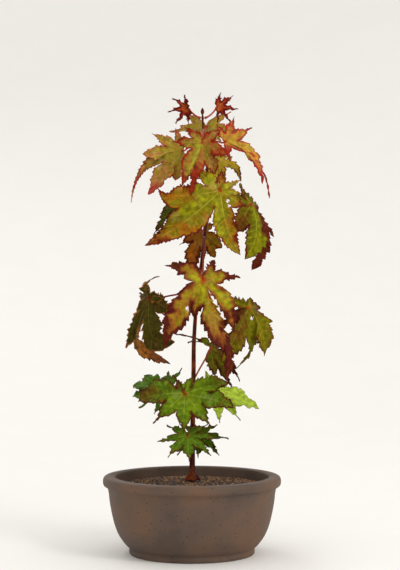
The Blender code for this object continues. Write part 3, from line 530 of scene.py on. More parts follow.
def leaf_material(name, palette):
    """Fresh maple leaf, waxy above: satin, coloured from a yellow heart to a turned margin.

    Its colours run through one ramp by how ripe a place is: riper towards the margin and the
    tips, and in soft patches. Some patches that are still green have bleached. Fine pale side
    veins cross the blade, and its very rim is dark.
    """
    material, tree, place, skin = new_material(name)
    patches, flecks, clouds, shadows = (
        add_node(tree, "ShaderNodeTexNoise", {
            "Vector": place, "Scale": 1.0 / (size * MM), "Detail": detail})
        for size, detail in ((6.0, 4.0), (1.3, 3.0), (9.0, 2.0), (2.6, 3.0)))
    margin_mm, aside_mm, hub_mm, ripe, count = (
        add_node(tree, "ShaderNodeAttribute", out="Fac", attribute_name=value)
        for value in ("margin_mm", "aside_mm", "hub_mm", "ripeness", "vein_count"))

    # the turned margin is ragged: its width follows the patches
    ragged = add_node(tree, "ShaderNodeMath", {0: patches, 1: 2.2, 2: -0.1},
                      operation="MULTIPLY_ADD")
    inward = add_node(tree, "ShaderNodeMath", {0: margin_mm, 1: ragged}, operation="DIVIDE")
    edge = add_node(tree, "ShaderNodeMapRange", {
        0: inward, 1: 0.1, 2: palette.rim, 3: 0.66, 4: 0.0}, interpolation_type="SMOOTHSTEP")
    patchy = add_node(tree, "ShaderNodeMath", {
        0: patches, 1: 2.4 * palette.patch, 2: -1.2 * palette.patch}, operation="MULTIPLY_ADD")
    flecked = add_node(tree, "ShaderNodeMath", {0: flecks, 1: 0.35, 2: -0.175},
                       operation="MULTIPLY_ADD")
    for more in (edge, patchy, flecked):
        ripe = add_node(tree, "ShaderNodeMath", {0: ripe, 1: more}, operation="ADD")
    colour = add_node(tree, "ShaderNodeValToRGB", {0: ripe}, stops=[
        (0.0, palette.heart), (0.24, palette.lamina), (0.58, palette.turned), (0.9, palette.edge)])

    # how green a place still is, how bleached, how near to a side vein, to the midrib, to the
    # red hub and to the rim
    near_vein = add_node(tree, "ShaderNodeMath", {0: count, 1: 0.5}, operation="PINGPONG")
    green, bleached, side, middle, redness, rim = (
        add_node(tree, "ShaderNodeMapRange", dict(enumerate(values)),
                 interpolation_type="SMOOTHSTEP")
        for values in (
            (ripe, 0.3, 0.75, 1.0, 0.12), (clouds, 0.56, 0.7, 0.0, 0.6),
            (near_vein, 0.012, 0.075, 0.52, 0.0), (aside_mm, 0.15, 0.8, 0.55, 0.0),
            (hub_mm, 0.8, 2.6, 0.8, 0.0), (margin_mm, 0.08, 0.35, 0.5, 0.0)))
    bleached = add_node(tree, "ShaderNodeMath", {0: bleached, 1: green}, operation="MULTIPLY")
    inside = add_node(tree, "ShaderNodeMapRange", {0: margin_mm, 1: 0.4, 2: 2.0, 3: 0.0, 4: 1.0})
    side = add_node(tree, "ShaderNodeMath", {0: side, 1: inside}, operation="MULTIPLY")
    veins = add_node(tree, "ShaderNodeMath", {0: side, 1: middle}, operation="MAXIMUM")
    shown = add_node(tree, "ShaderNodeMath", {0: veins, 1: green}, operation="MULTIPLY")
    for share, code in (
            (bleached, palette.bloom), (shown, palette.vein), (redness, palette.hub),
            (rim, RIM_LINE)):
        colour = add_node(tree, "ShaderNodeMix", {0: share, 6: colour, 7: linear(code)}, out=2,
                          data_type="RGBA")
    shade = add_node(tree, "ShaderNodeMapRange", {
        0: shadows, 1: 0.34, 2: 0.66, 3: 0.68, 4: 1.22})
    colour = add_node(tree, "ShaderNodeVectorMath", {0: colour, "Scale": shade}, operation="SCALE")
    rough = add_node(tree, "ShaderNodeMapRange", {0: patches, 1: 0.35, 2: 0.65, 3: 0.42, 4: 0.58})
    height = add_node(tree, "ShaderNodeMath", {0: veins, 1: -0.8, 2: flecks},
                      operation="MULTIPLY_ADD")
    bump = add_node(tree, "ShaderNodeBump", {
        "Height": height, "Strength": 0.6, "Distance": 0.3 * MM})
    feed(tree, skin, {
        "Base Color": colour, "Roughness": rough, "Normal": bump, "IOR": 1.42,
        "Specular IOR Level": 0.07})
    return material


def rib_material():
    """Leaf stalks and midribs: smooth and satin, in the colour dealt to each."""
    material, tree, place, skin = new_material("maple_stalk_skin")
    tint = add_node(tree, "ShaderNodeAttribute", out="Color", attribute_name="tint")
    dust = add_node(tree, "ShaderNodeTexNoise", {
        "Vector": place, "Scale": 1.0 / (0.9 * MM), "Detail": 3.0})
    shade = add_node(tree, "ShaderNodeMapRange", {0: dust, 1: 0.3, 2: 0.7, 3: 0.8, 4: 1.15})
    colour = add_node(tree, "ShaderNodeVectorMath", {0: tint, "Scale": shade}, operation="SCALE")
    bump = add_node(tree, "ShaderNodeBump", {
        "Height": dust, "Strength": 0.3, "Distance": 0.08 * MM})
    feed(tree, skin, {
        "Base Color": colour, "Normal": bump, "Roughness": 0.42, "IOR": 1.42,
        "Specular IOR Level": 0.2})
    return material


def bark_material(settings):
    """Young maple bark: smooth and satin, dark red-brown, streaked lengthwise by its growth, and in
    its streaks painted shade and painted highlights.
    """
    material, tree, place, skin = new_material("young_maple_bark")
    drawn_out = add_node(tree, "ShaderNodeMapping", {"Vector": place, "Scale": (1.0, 1.0, 0.12)})
    streaks, clouds = (
        add_node(tree, "ShaderNodeTexNoise", {
            "Vector": where, "Scale": 1.0 / (size * MM), "Detail": detail})
        for where, size, detail in ((drawn_out, 0.9, 4.0), (place, 9.0, 2.0)))
    tone = add_node(tree, "ShaderNodeMath", {0: streaks, 1: clouds}, operation="MULTIPLY")
    # painted shade and light: the ramp runs from the bark's colour in shade to its colour in light,
    # and the noise spreads them in lengthwise streaks
    colour = add_node(tree, "ShaderNodeValToRGB", {0: tone}, stops=[
        (0.12, (*settings.shade, 1.0)), (0.24, "#481808"), (0.42, (*settings.light, 1.0))])
    rough = add_node(tree, "ShaderNodeMapRange", {0: clouds, 1: 0.3, 2: 0.7, 3: 0.42, 4: 0.56})
    bump = add_node(tree, "ShaderNodeBump", {
        "Height": streaks, "Strength": 0.45, "Distance": 0.1 * MM})
    feed(tree, skin, {
        "Base Color": colour, "Roughness": rough, "Normal": bump, "IOR": 1.45,
        "Specular IOR Level": 0.08})
    return material


def lenticel_material():
    """Lenticels: corky, pale and dull, so that they dot the bark."""
    material, tree, place, skin = new_material("corky_lenticel")
    grain = add_node(tree, "ShaderNodeTexNoise", {"Vector": place, "Scale": 1.0 / (0.3 * MM)})
    colour = add_node(tree, "ShaderNodeValToRGB", {0: grain}, stops=[
        (0.3, "#6A4430"), (0.7, "#987058")])
    feed(tree, skin, {"Base Color": colour, "Roughness": 0.85})
    return material


def stoneware_material(settings):
    """Unglazed stoneware, wheel-thrown and wood-fired: matt, toasted unevenly, iron-speckled."""
    material, tree, place, skin = new_material("unglazed_stoneware")
    toast, grog = (
        add_node(tree, "ShaderNodeTexNoise", {
            "Vector": place, "Scale": 1.0 / (size * MM), "Detail": 3.0})
        for size in (28.0, 0.8))
    body = add_node(tree, "ShaderNodeValToRGB", {0: toast}, stops=[
        (0.3, "#46362C"), (0.52, (*settings.clay, 1.0)), (0.75, "#6E503A")])
    specks = add_node(tree, "ShaderNodeTexVoronoi", {"Vector": place, "Scale": 1.0 / (3.2 * MM)})
    spot = add_node(tree, "ShaderNodeMapRange", {0: specks, 1: 0.10, 2: 0.17, 3: 0.8, 4: 0.0})
    colour = add_node(tree, "ShaderNodeMix", {0: spot, 6: body, 7: linear("#1E1612")}, out=2,
                      data_type="RGBA")
    rough = add_node(tree, "ShaderNodeMapRange", {0: toast, 1: 0.3, 2: 0.7, 3: 0.58, 4: 0.8})
    bump = add_node(tree, "ShaderNodeBump", {
        "Height": grog, "Strength": 0.5, "Distance": 0.2 * MM})
    feed(tree, skin, {"Base Color": colour, "Roughness": rough, "Normal": bump, "IOR": 1.5})
    return material


def soil_material():
    """Baked clay granules with bark crumbs: dull and dusty, each grain in its own brown."""
    material, tree, place, skin = new_material("baked_clay_granules")
    tone = add_node(tree, "ShaderNodeAttribute", out="Fac", attribute_name="grain_tone")
    dust = add_node(tree, "ShaderNodeTexNoise", {
        "Vector": place, "Scale": 1.0 / (0.7 * MM), "Detail": 3.0})
    mixture = add_node(tree, "ShaderNodeMath", {0: dust, 1: 0.35, 2: tone},
                       operation="MULTIPLY_ADD")
    colour = add_node(tree, "ShaderNodeValToRGB", {0: mixture}, stops=[
        (0.15, "#241912"), (0.55, "#4E3524"), (0.85, "#7A573A"), (1.0, "#8E6A48")])
    bump = add_node(tree, "ShaderNodeBump", {
        "Height": dust, "Strength": 0.6, "Distance": 0.2 * MM})
    feed(tree, skin, {"Base Color": colour, "Normal": bump, "Roughness": 0.92})
    return material


def paper_material(settings):
    """Background paper: matt and pale, with a faint tooth that keeps it from looking flat."""
    material, tree, place, skin = new_material("matt_background_paper")
    tooth = add_node(tree, "ShaderNodeTexNoise", {"Vector": place, "Scale": 1.0 / (60.0 * MM)})
    colour = add_node(tree, "ShaderNodeValToRGB", {0: tooth}, stops=[
        (0.0, (*(v * 0.97 for v in settings.paper), 1.0)), (1.0, (*settings.paper, 1.0))])
    feed(tree, skin, {"Base Color": colour, "Roughness": 0.9})
    return material


# Meshes and Geometry Nodes trees

def add_object(name, data, material=None):
    thing = bpy.data.objects.new(name, data)
    bpy.context.scene.collection.objects.link(thing)
    if material:
        data.materials.append(material)
    return thing


def plain_mesh(thing):
    """Replaces an object's mesh by its evaluated one and drops its modifiers."""
    bpy.context.view_layer.update()
    seen = thing.evaluated_get(bpy.context.evaluated_depsgraph_get())
    mesh = bpy.data.meshes.new_from_object(seen)
    thing.modifiers.clear()
    thing.data = mesh
    mesh.name = thing.name
    mesh.shade_smooth()


def finish_piece(thing, slot, *nodes):
    """Ties a piece to the frame: its body and the nodes it stands for, which it hides. Its material
    slot, slot, is not used.
    """
    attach(thing, "root")
    if nodes:
        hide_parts(*nodes)


def shape_tree(name, inputs):
    """A Geometry Nodes tree with geometry in and out and named inputs, as (name, kind, value)."""
    tree = bpy.data.node_groups.new(name, "GeometryNodeTree")
    tree.interface.new_socket("Geometry", in_out="INPUT", socket_type="NodeSocketGeometry")
    for label, kind, value in inputs:
        tree.interface.new_socket(
            label, in_out="INPUT", socket_type="NodeSocket" + kind).default_value = value
    tree.interface.new_socket("Geometry", in_out="OUTPUT", socket_type="NodeSocketGeometry")
    return tree, add_node(tree, "NodeGroupInput", out=None)


def end_tree(tree, geometry, material):
    """Ends a tree in Realize Instances, Set Shade Smooth and Set Material."""
    real = add_node(tree, "GeometryNodeRealizeInstances", {"Geometry": geometry})
    smooth = add_node(tree, "GeometryNodeSetShadeSmooth", {"Geometry": real})
    dressed = add_node(tree, "GeometryNodeSetMaterial", {"Geometry": smooth, "Material": material})
    add_node(tree, "NodeGroupOutput", {"Geometry": dressed}, out=None)


def apply_tree(thing, tree, values):
    """Runs a tree on an object, with its inputs set by their identifiers, and keeps the mesh."""
    modifier = thing.modifiers.new(tree.name, "NODES")
    modifier.node_group = tree
    for item in tree.interface.items_tree:
        if item.item_type == "SOCKET" and item.in_out == "INPUT" and item.name in values:
            modifier[item.identifier] = values[item.name]
    plain_mesh(thing)


def tube_tree(material):
    """Tubes along lines, as thick as the attribute girth says, with closed ends."""
    tree, given = shape_tree("tubes_on_lines", [("Thickness", "Float", 1.0), ("Sides", "Int", 8)])
    lines = add_node(tree, "GeometryNodeMeshToCurve", {"Mesh": given["Geometry"]})
    girth = add_node(tree, "GeometryNodeInputNamedAttribute", {"Name": "girth"}, data_type="FLOAT")
    radius = add_node(tree, "ShaderNodeMath", {0: girth, 1: given["Thickness"]},
                      operation="MULTIPLY")
    ring = add_node(tree, "GeometryNodeCurvePrimitiveCircle", {
        "Resolution": given["Sides"], "Radius": 1.0})
    tube = add_node(tree, "GeometryNodeCurveToMesh", {
        "Curve": lines, "Profile Curve": ring, "Scale": radius, "Fill Caps": True})
    end_tree(tree, tube, material)
    return tree


def lines_object(name, lines):
    """A mesh of open lines from lists of (point in mm, girth in mm, colour)."""
    points, edges, girths, tints = [], [], [], []
    for line in lines:
        start = len(points)
        edges.extend((start + n, start + n + 1) for n in range(len(line) - 1))
        for place, girth, tint in line:
            points.append(place * MM)
            girths.append(girth * MM)
            tints.extend(tint)
    mesh = bpy.data.meshes.new(name)
    mesh.from_pydata(points, edges, [])
    mesh.attributes.new("girth", "FLOAT", "POINT").data.foreach_set("value", girths)
    mesh.attributes.new("tint", "FLOAT_COLOR", "POINT").data.foreach_set("color", tints)
    return add_object(name, mesh)


# The plant's own rules, as in the frame

def ease(share):
    share = min(max(share, 0.0), 1.0)
    return share * share * (3.0 - 2.0 * share)


def mixed(a, b, share):
    return tuple(x * (1.0 - share) + y * share for x, y in zip(a, b))


def through(places, values, t):
    """Value at t of a smooth curve through the values at the given places."""
    last = len(places) - 1
    i = min(max(sum(place <= t for place in places) - 1, 0), last - 1)
    room = places[i + 1] - places[i]
    u = (t - places[i]) / room
    rises = []
    for n in (i, i + 1):
        a, b = max(n - 1, 0), min(n + 1, last)
        rises.append((values[b] - values[a]) / (places[b] - places[a]))
    return (
        values[i] * (2 * u**3 - 3 * u**2 + 1) + rises[0] * room * (u**3 - 2 * u**2 + u)
        + values[i + 1] * (3 * u**2 - 2 * u**3) + rises[1] * room * (u**3 - u**2))


def stem_at(height):
    """Middle and radius of the stem at a height, on a smooth curve through its course."""
    xs, ys, heights, radii = zip(*STEM_COURSE)
    x, y, radius = (through(heights, values, height) for values in (xs, ys, radii))
    return Vector((x, y, height)), radius


def stem_radius(height):
    """The stem's radius with its root flare and the swellings at the leaf pairs."""
    radius = stem_at(height)[1]
    radius += FLARE_RADIUS * (1.0 - ease((height - STEM_FOOT) / FLARE_HEIGHT)) ** 2
    for pair in PAIR_HEIGHTS:
        radius += NODE_SWELL * ease(1.0 - abs(height - pair) / NODE_REACH)
    return radius


def seen_from_front(x, depth, z):
    """The point that shows at (x, z) in the front view and lies at a depth behind its plane."""
    spread = (EYE_DISTANCE + depth) / EYE_DISTANCE
    return Vector((EYE_X + (x - EYE_X) * spread, depth, EYE_Z + (z - EYE_Z) * spread))


def bowed(lobe, t):
    """How far a lobe's midrib lies aside of the straight line to its tip."""
    if isinstance(lobe.bow, tuple):
        return through((0.0, 0.25, 0.5, 0.75, 1.0), (0.0, *lobe.bow, 0.0), t)
    return lobe.bow * 4.0 * t * (1.0 - t)


def swell(t):
    """Share of a lobe's width at t: round below its widest place, drawn out to the tip."""
    if t < BELLY:
        return math.sin(0.5 * math.pi * t / BELLY) ** BASE_ROUNDNESS
    u = (t - BELLY) / (1.0 - BELLY)
    rounded = 0.5 * (1.0 + math.cos(math.pi * u))
    return TIP_STRAIGHTNESS * (1.0 - u) + (1.0 - TIP_STRAIGHTNESS) * rounded


def half_width(lobe, side, t):
    """Half a lobe's width at t: measured at WIDTH_PLACES, or from the common swell."""
    if isinstance(lobe.width, tuple):
        measured = lobe.width[(side + 1) // 2] if len(lobe.width) == 2 else lobe.width
        return max(through((0.0, *WIDTH_PLACES, 1.0), (0.0, *measured, 0.0), t), 0.0)
    return 0.5 * lobe.width * swell(t)


def midrib(leaf, lobe, t):
    """Point on a lobe's midrib, from the hub at t = 0 to the tip at t = 1."""
    bearing = math.radians(lobe.bearing)
    along = lobe.reach * t
    hooked = max(0.0, (t - (1.0 - HOOK_SHARE)) / HOOK_SHARE) ** 2
    aside = bowed(lobe, t) + lobe.hook * hooked
    x = leaf.hub[0] + along * math.sin(bearing) + aside * math.cos(bearing)
    z = leaf.hub[1] + along * math.cos(bearing) - aside * math.sin(bearing)
    arch = ARCH_SHARE * lobe.reach * leaf.faces[1] * (4.0 * t * (1.0 - t))
    return seen_from_front(x, leaf.depth + lobe.push * t + arch, z)


def tangent(leaf, lobe, t):
    """Direction of a lobe's midrib at t."""
    before, after = max(t - TANGENT_STEP, 0.0), min(t + TANGENT_STEP, 1.0)
    return (midrib(leaf, lobe, after) - midrib(leaf, lobe, before)).normalized()


def across(leaf, lobe, t):
    """Direction over the blade from the midrib to its clockwise margin."""
    ahead = tangent(leaf, lobe, t)
    side = ahead.cross(Vector(leaf.faces).normalized()).normalized()
    if leaf.faces[1] > 0:
        side = -side
    turn = math.radians(lobe.turn) * ease(t / TURN_SHARE)
    lift = side.cross(ahead).normalized()
    return side * math.cos(turn) + lift * math.sin(turn)


def web_between(lobe, neighbour, side):
    """Distance from the hub at which a lobe parts from its neighbour on one side."""
    if neighbour is None:
        return WEB_SHARE * lobe.reach
    first = lobe if side > 0 else neighbour
    return first.web or WEB_SHARE * min(lobe.reach, neighbour.reach)


def freedom(lobe, neighbour, side, t):
    """0 where a lobe is joined to its neighbour and 1 where its margin is its own."""
    if neighbour is None:
        return 1.0
    return ease((t * lobe.reach - web_between(lobe, neighbour, side)) / (MARGIN_EASE * lobe.reach))


def margin(leaf, lobe, side, neighbour, t, bite, fullness):
    """Point on a lobe's margin, cut back by a bite. side is 1 on the clockwise side, or -1."""
    middle = midrib(leaf, lobe, t)
    out = across(leaf, lobe, t) * side
    half = half_width(lobe, side, t) * fullness
    half = max(half - bite, LEAST_HALF * half)
    measured = isinstance(lobe.width, tuple)
    if measured:  # as wide from the front as it was measured, however the blade is tilted
        half /= max(math.hypot(out.x, out.z), LEAST_SHOWN)
    if neighbour is None:
        return middle + out * half
    there = min(t * lobe.reach / neighbour.reach, 1.0)
    to_neighbour = midrib(leaf, neighbour, there) - middle
    free = freedom(lobe, neighbour, side, t)
    if free <= 0.0:
        return middle + to_neighbour * 0.5
    if not measured:
        half = min(half, LOBE_CLEARANCE * to_neighbour.length)
    half = 0.5 * to_neighbour.length * (1.0 - free) + half * free
    heading = (to_neighbour.normalized() * (1.0 - free) + out * free).normalized()
    return middle + heading * half


# Leaves

def row_places(teeth):
    """A lobe's cross lines, as (share of its web, share of its free part, vein count, out)."""
    places = []
    for n in range(WEB_ROWS + 1):
        share = n / WEB_ROWS
        places.append((share, 0.0, -TOOTH_TIP - (1.0 - share) * WEB_VEINS, 0.5))
    for tooth in range(teeth):
        for way, out in TOOTH[(tooth == 0):]:
            places.append((1.0, (tooth + way) / teeth, tooth + way - TOOTH_TIP, out))
    return places + [(1.0, 1.0, teeth - TOOTH_TIP, 1.0)]


def folded_half(middle, edge, ahead, outward, fold):
    """Points from the midrib to a margin, over a half blade that is folded up from its midrib."""
    reach = edge - middle
    along = ahead * reach.dot(ahead)
    flat = reach - along
    angle = math.radians(fold)
    step = along + flat * math.cos(angle) + outward * (flat.length * math.sin(angle))
    points = [middle]
    for _ in range(COLUMNS):
        points.append(points[-1] + step / COLUMNS)
    return points


def lobe_rows(leaf, number, settings, chance):
    """A lobe's surface: rows of (place, way along, values), from margin to margin clockwise."""
    around = (None, *leaf.lobes, None)
    lobe = leaf.lobes[number]
    sides = ((-1, around[number], FOLD), (1, around[number + 2], lobe.after))
    facing = Vector(leaf.faces).normalized()
    free_reach = lobe.reach - min(web_between(lobe, near, side) for side, near, _ in sides)
    tooth_length = settings.tooth_length / MM * leaf.teeth[0]
    tooth_depth = settings.tooth_depth / MM * leaf.teeth[1]
    teeth = max(LEAST_TEETH, round(free_reach / tooth_length))
    teeth_on_vein = max(1, round(VEIN_SPACING / tooth_length))
    bites = {side: [chance.uniform(*BITE_RANGE) for _ in range(teeth + 1)] for side in (-1, 1)}
    fuller = {
        side: [chance.uniform(-1.0, 1.0) for _ in range(SWELL_PLACES + 1)] for side in (-1, 1)}
    wave_start = chance.uniform(0.0, 2.0 * math.pi)
    wave_length = chance.uniform(*WAVE_RANGE)
    rows = []
    for in_web, in_free, veins, out in row_places(teeth):
        tooth = min(int(in_free * teeth + 1e-6), teeth)
        veins = veins / teeth_on_vein if veins > 0.0 else veins
        stations = {}
        for side, near, _ in sides:
            web = web_between(lobe, near, side) / lobe.reach
            stations[side] = web * in_web + (1.0 - web) * in_free
        mean = 0.5 * (stations[-1] + stations[1])
        centre_t = max(mean - VEIN_SLANT * math.sin(math.pi * mean), 0.0)
        middle = midrib(leaf, lobe, centre_t)
        ahead = tangent(leaf, lobe, centre_t)
        halves = {}
        for side, near, fold in sides:
            t = stations[side]
            cut = bites[side][tooth] * (1.0 - out) - TOOTH_STAND * ease(4.0 * in_free)
            cut *= tooth_depth * (1.0 - in_free**4)
            low = min(int(in_free * SWELL_PLACES), SWELL_PLACES - 1)
            share = ease(in_free * SWELL_PLACES - low)
            fullness = 1.0 + SWELL_CHANGE * math.sin(math.pi * in_free) * (
                fuller[side][low] * (1.0 - share) + fuller[side][low + 1] * share)
            edge = margin(leaf, lobe, side, near, t, cut if in_free > 0.0 else 0.0, fullness)
            free = freedom(lobe, near, side, t)
            flat = (edge - middle) - ahead * (edge - middle).dot(ahead)
            outward = flat.cross(ahead)
            outward = outward.normalized() if outward.length > 1e-6 else facing
            if outward.dot(facing) < 0.0:
                outward = -outward
            half_mm = (edge - middle).length
            row = []
            for n, point in enumerate(folded_half(middle, edge, ahead, outward, fold * free)):
                c = n / COLUMNS
                puff = settings.puff / MM * math.sin(math.pi * c) * math.sin(math.pi * veins) ** 2
                wave = settings.wave / MM * c * c * free * math.sin(
                    2.0 * math.pi * veins / wave_length + wave_start + side)
                pleat = PLEAT_RISE * c * c * in_web * (1.0 - free) * min(1.0, half_mm / PLEAT_WIDTH)
                place = point + outward * (puff + wave) + facing * pleat
                shared = 0.5 * (1.0 - free) * c * c
                ripe = lobe.ripe * (1.0 - shared) + (near.ripe if near else lobe.ripe) * shared
                ripe += lobe.lean * side * c
                ripe *= ease(mean / HEART_SHARE)
                ripe = ripe + lobe.tip_ripe * mean * mean + TIP_RIPENING * mean
                row.append((place, mean, (c * half_mm, veins, ripe, mean * lobe.reach)))
            halves[side] = row
        rows.append(halves[-1][:0:-1] + halves[1])
    return rows


def in_a_hole(leaf, place):
    """True where an insect has bitten through the blade, as seen from the front."""
    spread = (EYE_DISTANCE + place.y) / EYE_DISTANCE
    x = EYE_X + (place.x - EYE_X) / spread
    z = EYE_Z + (place.z - EYE_Z) / spread
    return any(math.hypot(x - hx, z - hz) < radius for hx, hz, radius in leaf.holes)


def make_blade(leaf, settings, material):
    """The leaf's blade and its midrib lines: a fine grid on each lobe, joined along the webs.

    Each lobe has its own strip of the bake map's left half, and its underside of the right half.
    """
    chance = random.Random(f"{leaf.name} {settings.seed}")
    shape = bmesh.new()
    layers = [shape.verts.layers.float.new(name) for name in VALUE_NAMES]
    rim = shape.verts.layers.float.new("margin_mm")
    unwrap = shape.loops.layers.uv.new("OFBake")
    lines = []
    rim_places = []
    strips = len(leaf.lobes)
    width = 2 * COLUMNS
    for number, lobe in enumerate(leaf.lobes):
        rows = lobe_rows(leaf, number, settings, chance)
        grid = []
        for r, row in enumerate(rows):
            grid.append([shape.verts.new(point[0] * MM) for point in row])
            for vert, point in zip(grid[-1], row):
                for layer, value in zip(layers, point[2]):
                    vert[layer] = value
            if r > WEB_ROWS or number == 0:
                rim_places.append(row[0][0])
            if r > WEB_ROWS or number == strips - 1:
                rim_places.append(row[-1][0])
        for r in range(len(grid) - 1):
            for c in range(width):
                corners = [(r, c), (r + 1, c), (r + 1, c + 1), (r, c + 1)]
                face = shape.faces.new([grid[i][j] for i, j in corners])
                for loop, (i, j) in zip(face.loops, corners):
                    loop[unwrap].uv = (
                        STRIP_START + STRIP_LENGTH * i / (len(grid) - 1),
                        (number + STRIP_GAP + STRIP_WIDTH * j / width) / strips)
        lines.append(rib_line(lobe, rows, PALETTES[leaf.palette], settings))
    tree = kdtree.KDTree(len(rim_places))
    for n, place in enumerate(rim_places):
        tree.insert(place, n)
    tree.balance()
    for vert in shape.verts:
        vert[rim] = tree.find(vert.co / MM)[2]
    bmesh.ops.remove_doubles(shape, verts=shape.verts, dist=MERGE_DISTANCE * MM)
    pierced = [face for face in shape.faces if in_a_hole(leaf, face.calc_center_median() / MM)]
    bmesh.ops.delete(shape, geom=pierced, context="FACES")
    mesh = bpy.data.meshes.new(leaf.name)
    shape.to_mesh(mesh)
    shape.free()
    blade = add_object(leaf.name + "_blade", mesh, material)
    count = len(mesh.polygons)
    thick = blade.modifiers.new("thickness", "SOLIDIFY")
    thick.thickness = settings.thickness
    thick.offset = 0.0
    plain_mesh(blade)
    unwrap = blade.data.uv_layers["OFBake"]
    for polygon in blade.data.polygons[count:2 * count]:
        for index in polygon.loop_indices:
            unwrap.uv[index].vector.x += 0.5
    return blade, lines


def rib_line(lobe, rows, palette, settings):
    """The midrib of a lobe as a line with its girth and colour, thinner towards the tip."""
    line = []
    size = min(1.0, RIB_LEAST_SIZE + lobe.reach / RIB_GROWTH)
    for row in rows[::3] + rows[-1:]:
        place, along, (_, _, ripe, hub_mm) = row[COLUMNS]
        if along < RIB_END:
            girth = settings.rib_radius / MM * size * (1.0 - along) ** RIB_TAPER + RIB_TIP_RADIUS
            redness = max(0.0, 1.0 - hub_mm / RIB_RED_REACH)
            tint = mixed(linear(palette.vein), linear(palette.hub), redness)
            tint = mixed(tint, linear(palette.edge), ease((ripe - RIB_TURNING[0]) / RIB_TURNING[1]))
            line.append((place, girth, tint))
    return line


def stalk_line(leaf, palette):
    """The leaf's stalk, from the stem to the back of its hub, swollen at both ends."""
    height = PAIR_HEIGHTS[leaf.pair - 1]
    out = OUTWARD[leaf.side]
    start = stem_at(height)[0] + out * (stem_radius(height) + GAP)
    hub = seen_from_front(leaf.hub[0], leaf.depth, leaf.hub[1])
    span = (hub - start).length
    leave = start + out * STALK_OUT_SHARE * span + Vector((0, 0, STALK_RISE * span))
    arrive = hub - Vector(leaf.faces).normalized() * STALK_BACK_SHARE * span
    line = []
    for n in range(STALK_POINTS + 1):
        t = n / STALK_POINTS
        place = (
            start * (1 - t) ** 3 + leave * 3 * t * (1 - t) ** 2
            + arrive * 3 * t * t * (1 - t) + hub * t**3)
        base = STALK_BASE[0] * ease(1.0 - t * span / STALK_BASE[1])
        knob = (HUB_RADIUS - STALK_RADIUS) * ease(1.0 - (1.0 - t) * span / STALK_KNOB_LENGTH)
        tint = mixed(linear(palette.stalk), linear(palette.hub), ease(t))
        line.append((place, STALK_RADIUS * STALK_WAIST + base + knob, tint))
    return line


class MAPLE_OT_leaves(bpy.types.Operator):
    """Makes the blade of every leaf, their raised midribs and their stalks"""

    bl_idname = "maple.leaves"
    bl_label = "Make the leaves"

    def execute(self, context):
        settings = context.scene.maple_leaves
        slots = {part["node"]: part["material_slot"] for part in frame["record"]["subparts"]}
        materials = {
            name: leaf_material("maple_leaf_" + name, palette) for name, palette in PALETTES.items()
        }
        ribs = []
        stalks = []
        for leaf in LEAVES:
            blade, lines = make_blade(leaf, settings, materials[leaf.palette])
            finish_piece(blade, slots[leaf.name], leaf.name)
            ribs.extend(lines)
            stalks.append(stalk_line(leaf, PALETTES[leaf.palette]))
        tubes = tube_tree(rib_material())
        for name, lines, sides in (
                ("leaf_midribs", ribs, RIB_SIDES), ("leaf_stalks", stalks, STALK_SIDES)):
            piece = lines_object(name, lines)
            apply_tree(piece, tubes, {"Thickness": 1.0, "Sides": sides})
            finish_piece(piece, "leaf_turning")
        return {"FINISHED"}


# Stem

def stem_mesh():
    """Rings up the stem from its flat foot to the tip of its end bud, closed at both ends."""
    top = STEM_COURSE[-1][2]
    count = int((top - STEM_FOOT) / STEM_RING_STEP)
    heights = [STEM_FOOT + n * STEM_RING_STEP for n in range(count)] + [top]
    rings = [(stem_at(z)[0], stem_radius(z)) for z in heights]
    tip = stem_at(top)[0]
    for n in range(1, BUD_RINGS + 1):
        share = n / BUD_RINGS
        width = math.sin(math.pi * min(BUD_START + BUD_SPAN * share, BUD_END)) ** BUD_FULLNESS
        rings.append((tip + Vector((0, 0, BUD_LENGTH * share)), BUD_RADIUS * width))
    sides = STEM_SIDES
    points, faces = [], []
    for middle, radius in rings:
        flare = 1.0 - ease((middle.z - STEM_FOOT) / FLARE_HEIGHT)
        for s in range(sides):
            angle = 2.0 * math.pi * s / sides
            ridge = 1.0 + FLARE_RIDGE_DEPTH * flare * flare * math.cos(FLARE_RIDGES * angle)
            out = Vector((math.cos(angle), math.sin(angle), 0.0)) * radius * ridge
            points.append((middle + out) * MM)
    for low in range(0, (len(rings) - 1) * sides, sides):
        for s in range(sides):
            after = (s + 1) % sides
            faces.append((low + s, low + after, low + sides + after, low + sides + s))
    faces.append(tuple(range(sides))[::-1])
    faces.append(tuple(range((len(rings) - 1) * sides, len(rings) * sides)))
    mesh = bpy.data.meshes.new("young_stem")
    mesh.from_pydata(points, [], faces)
    return mesh


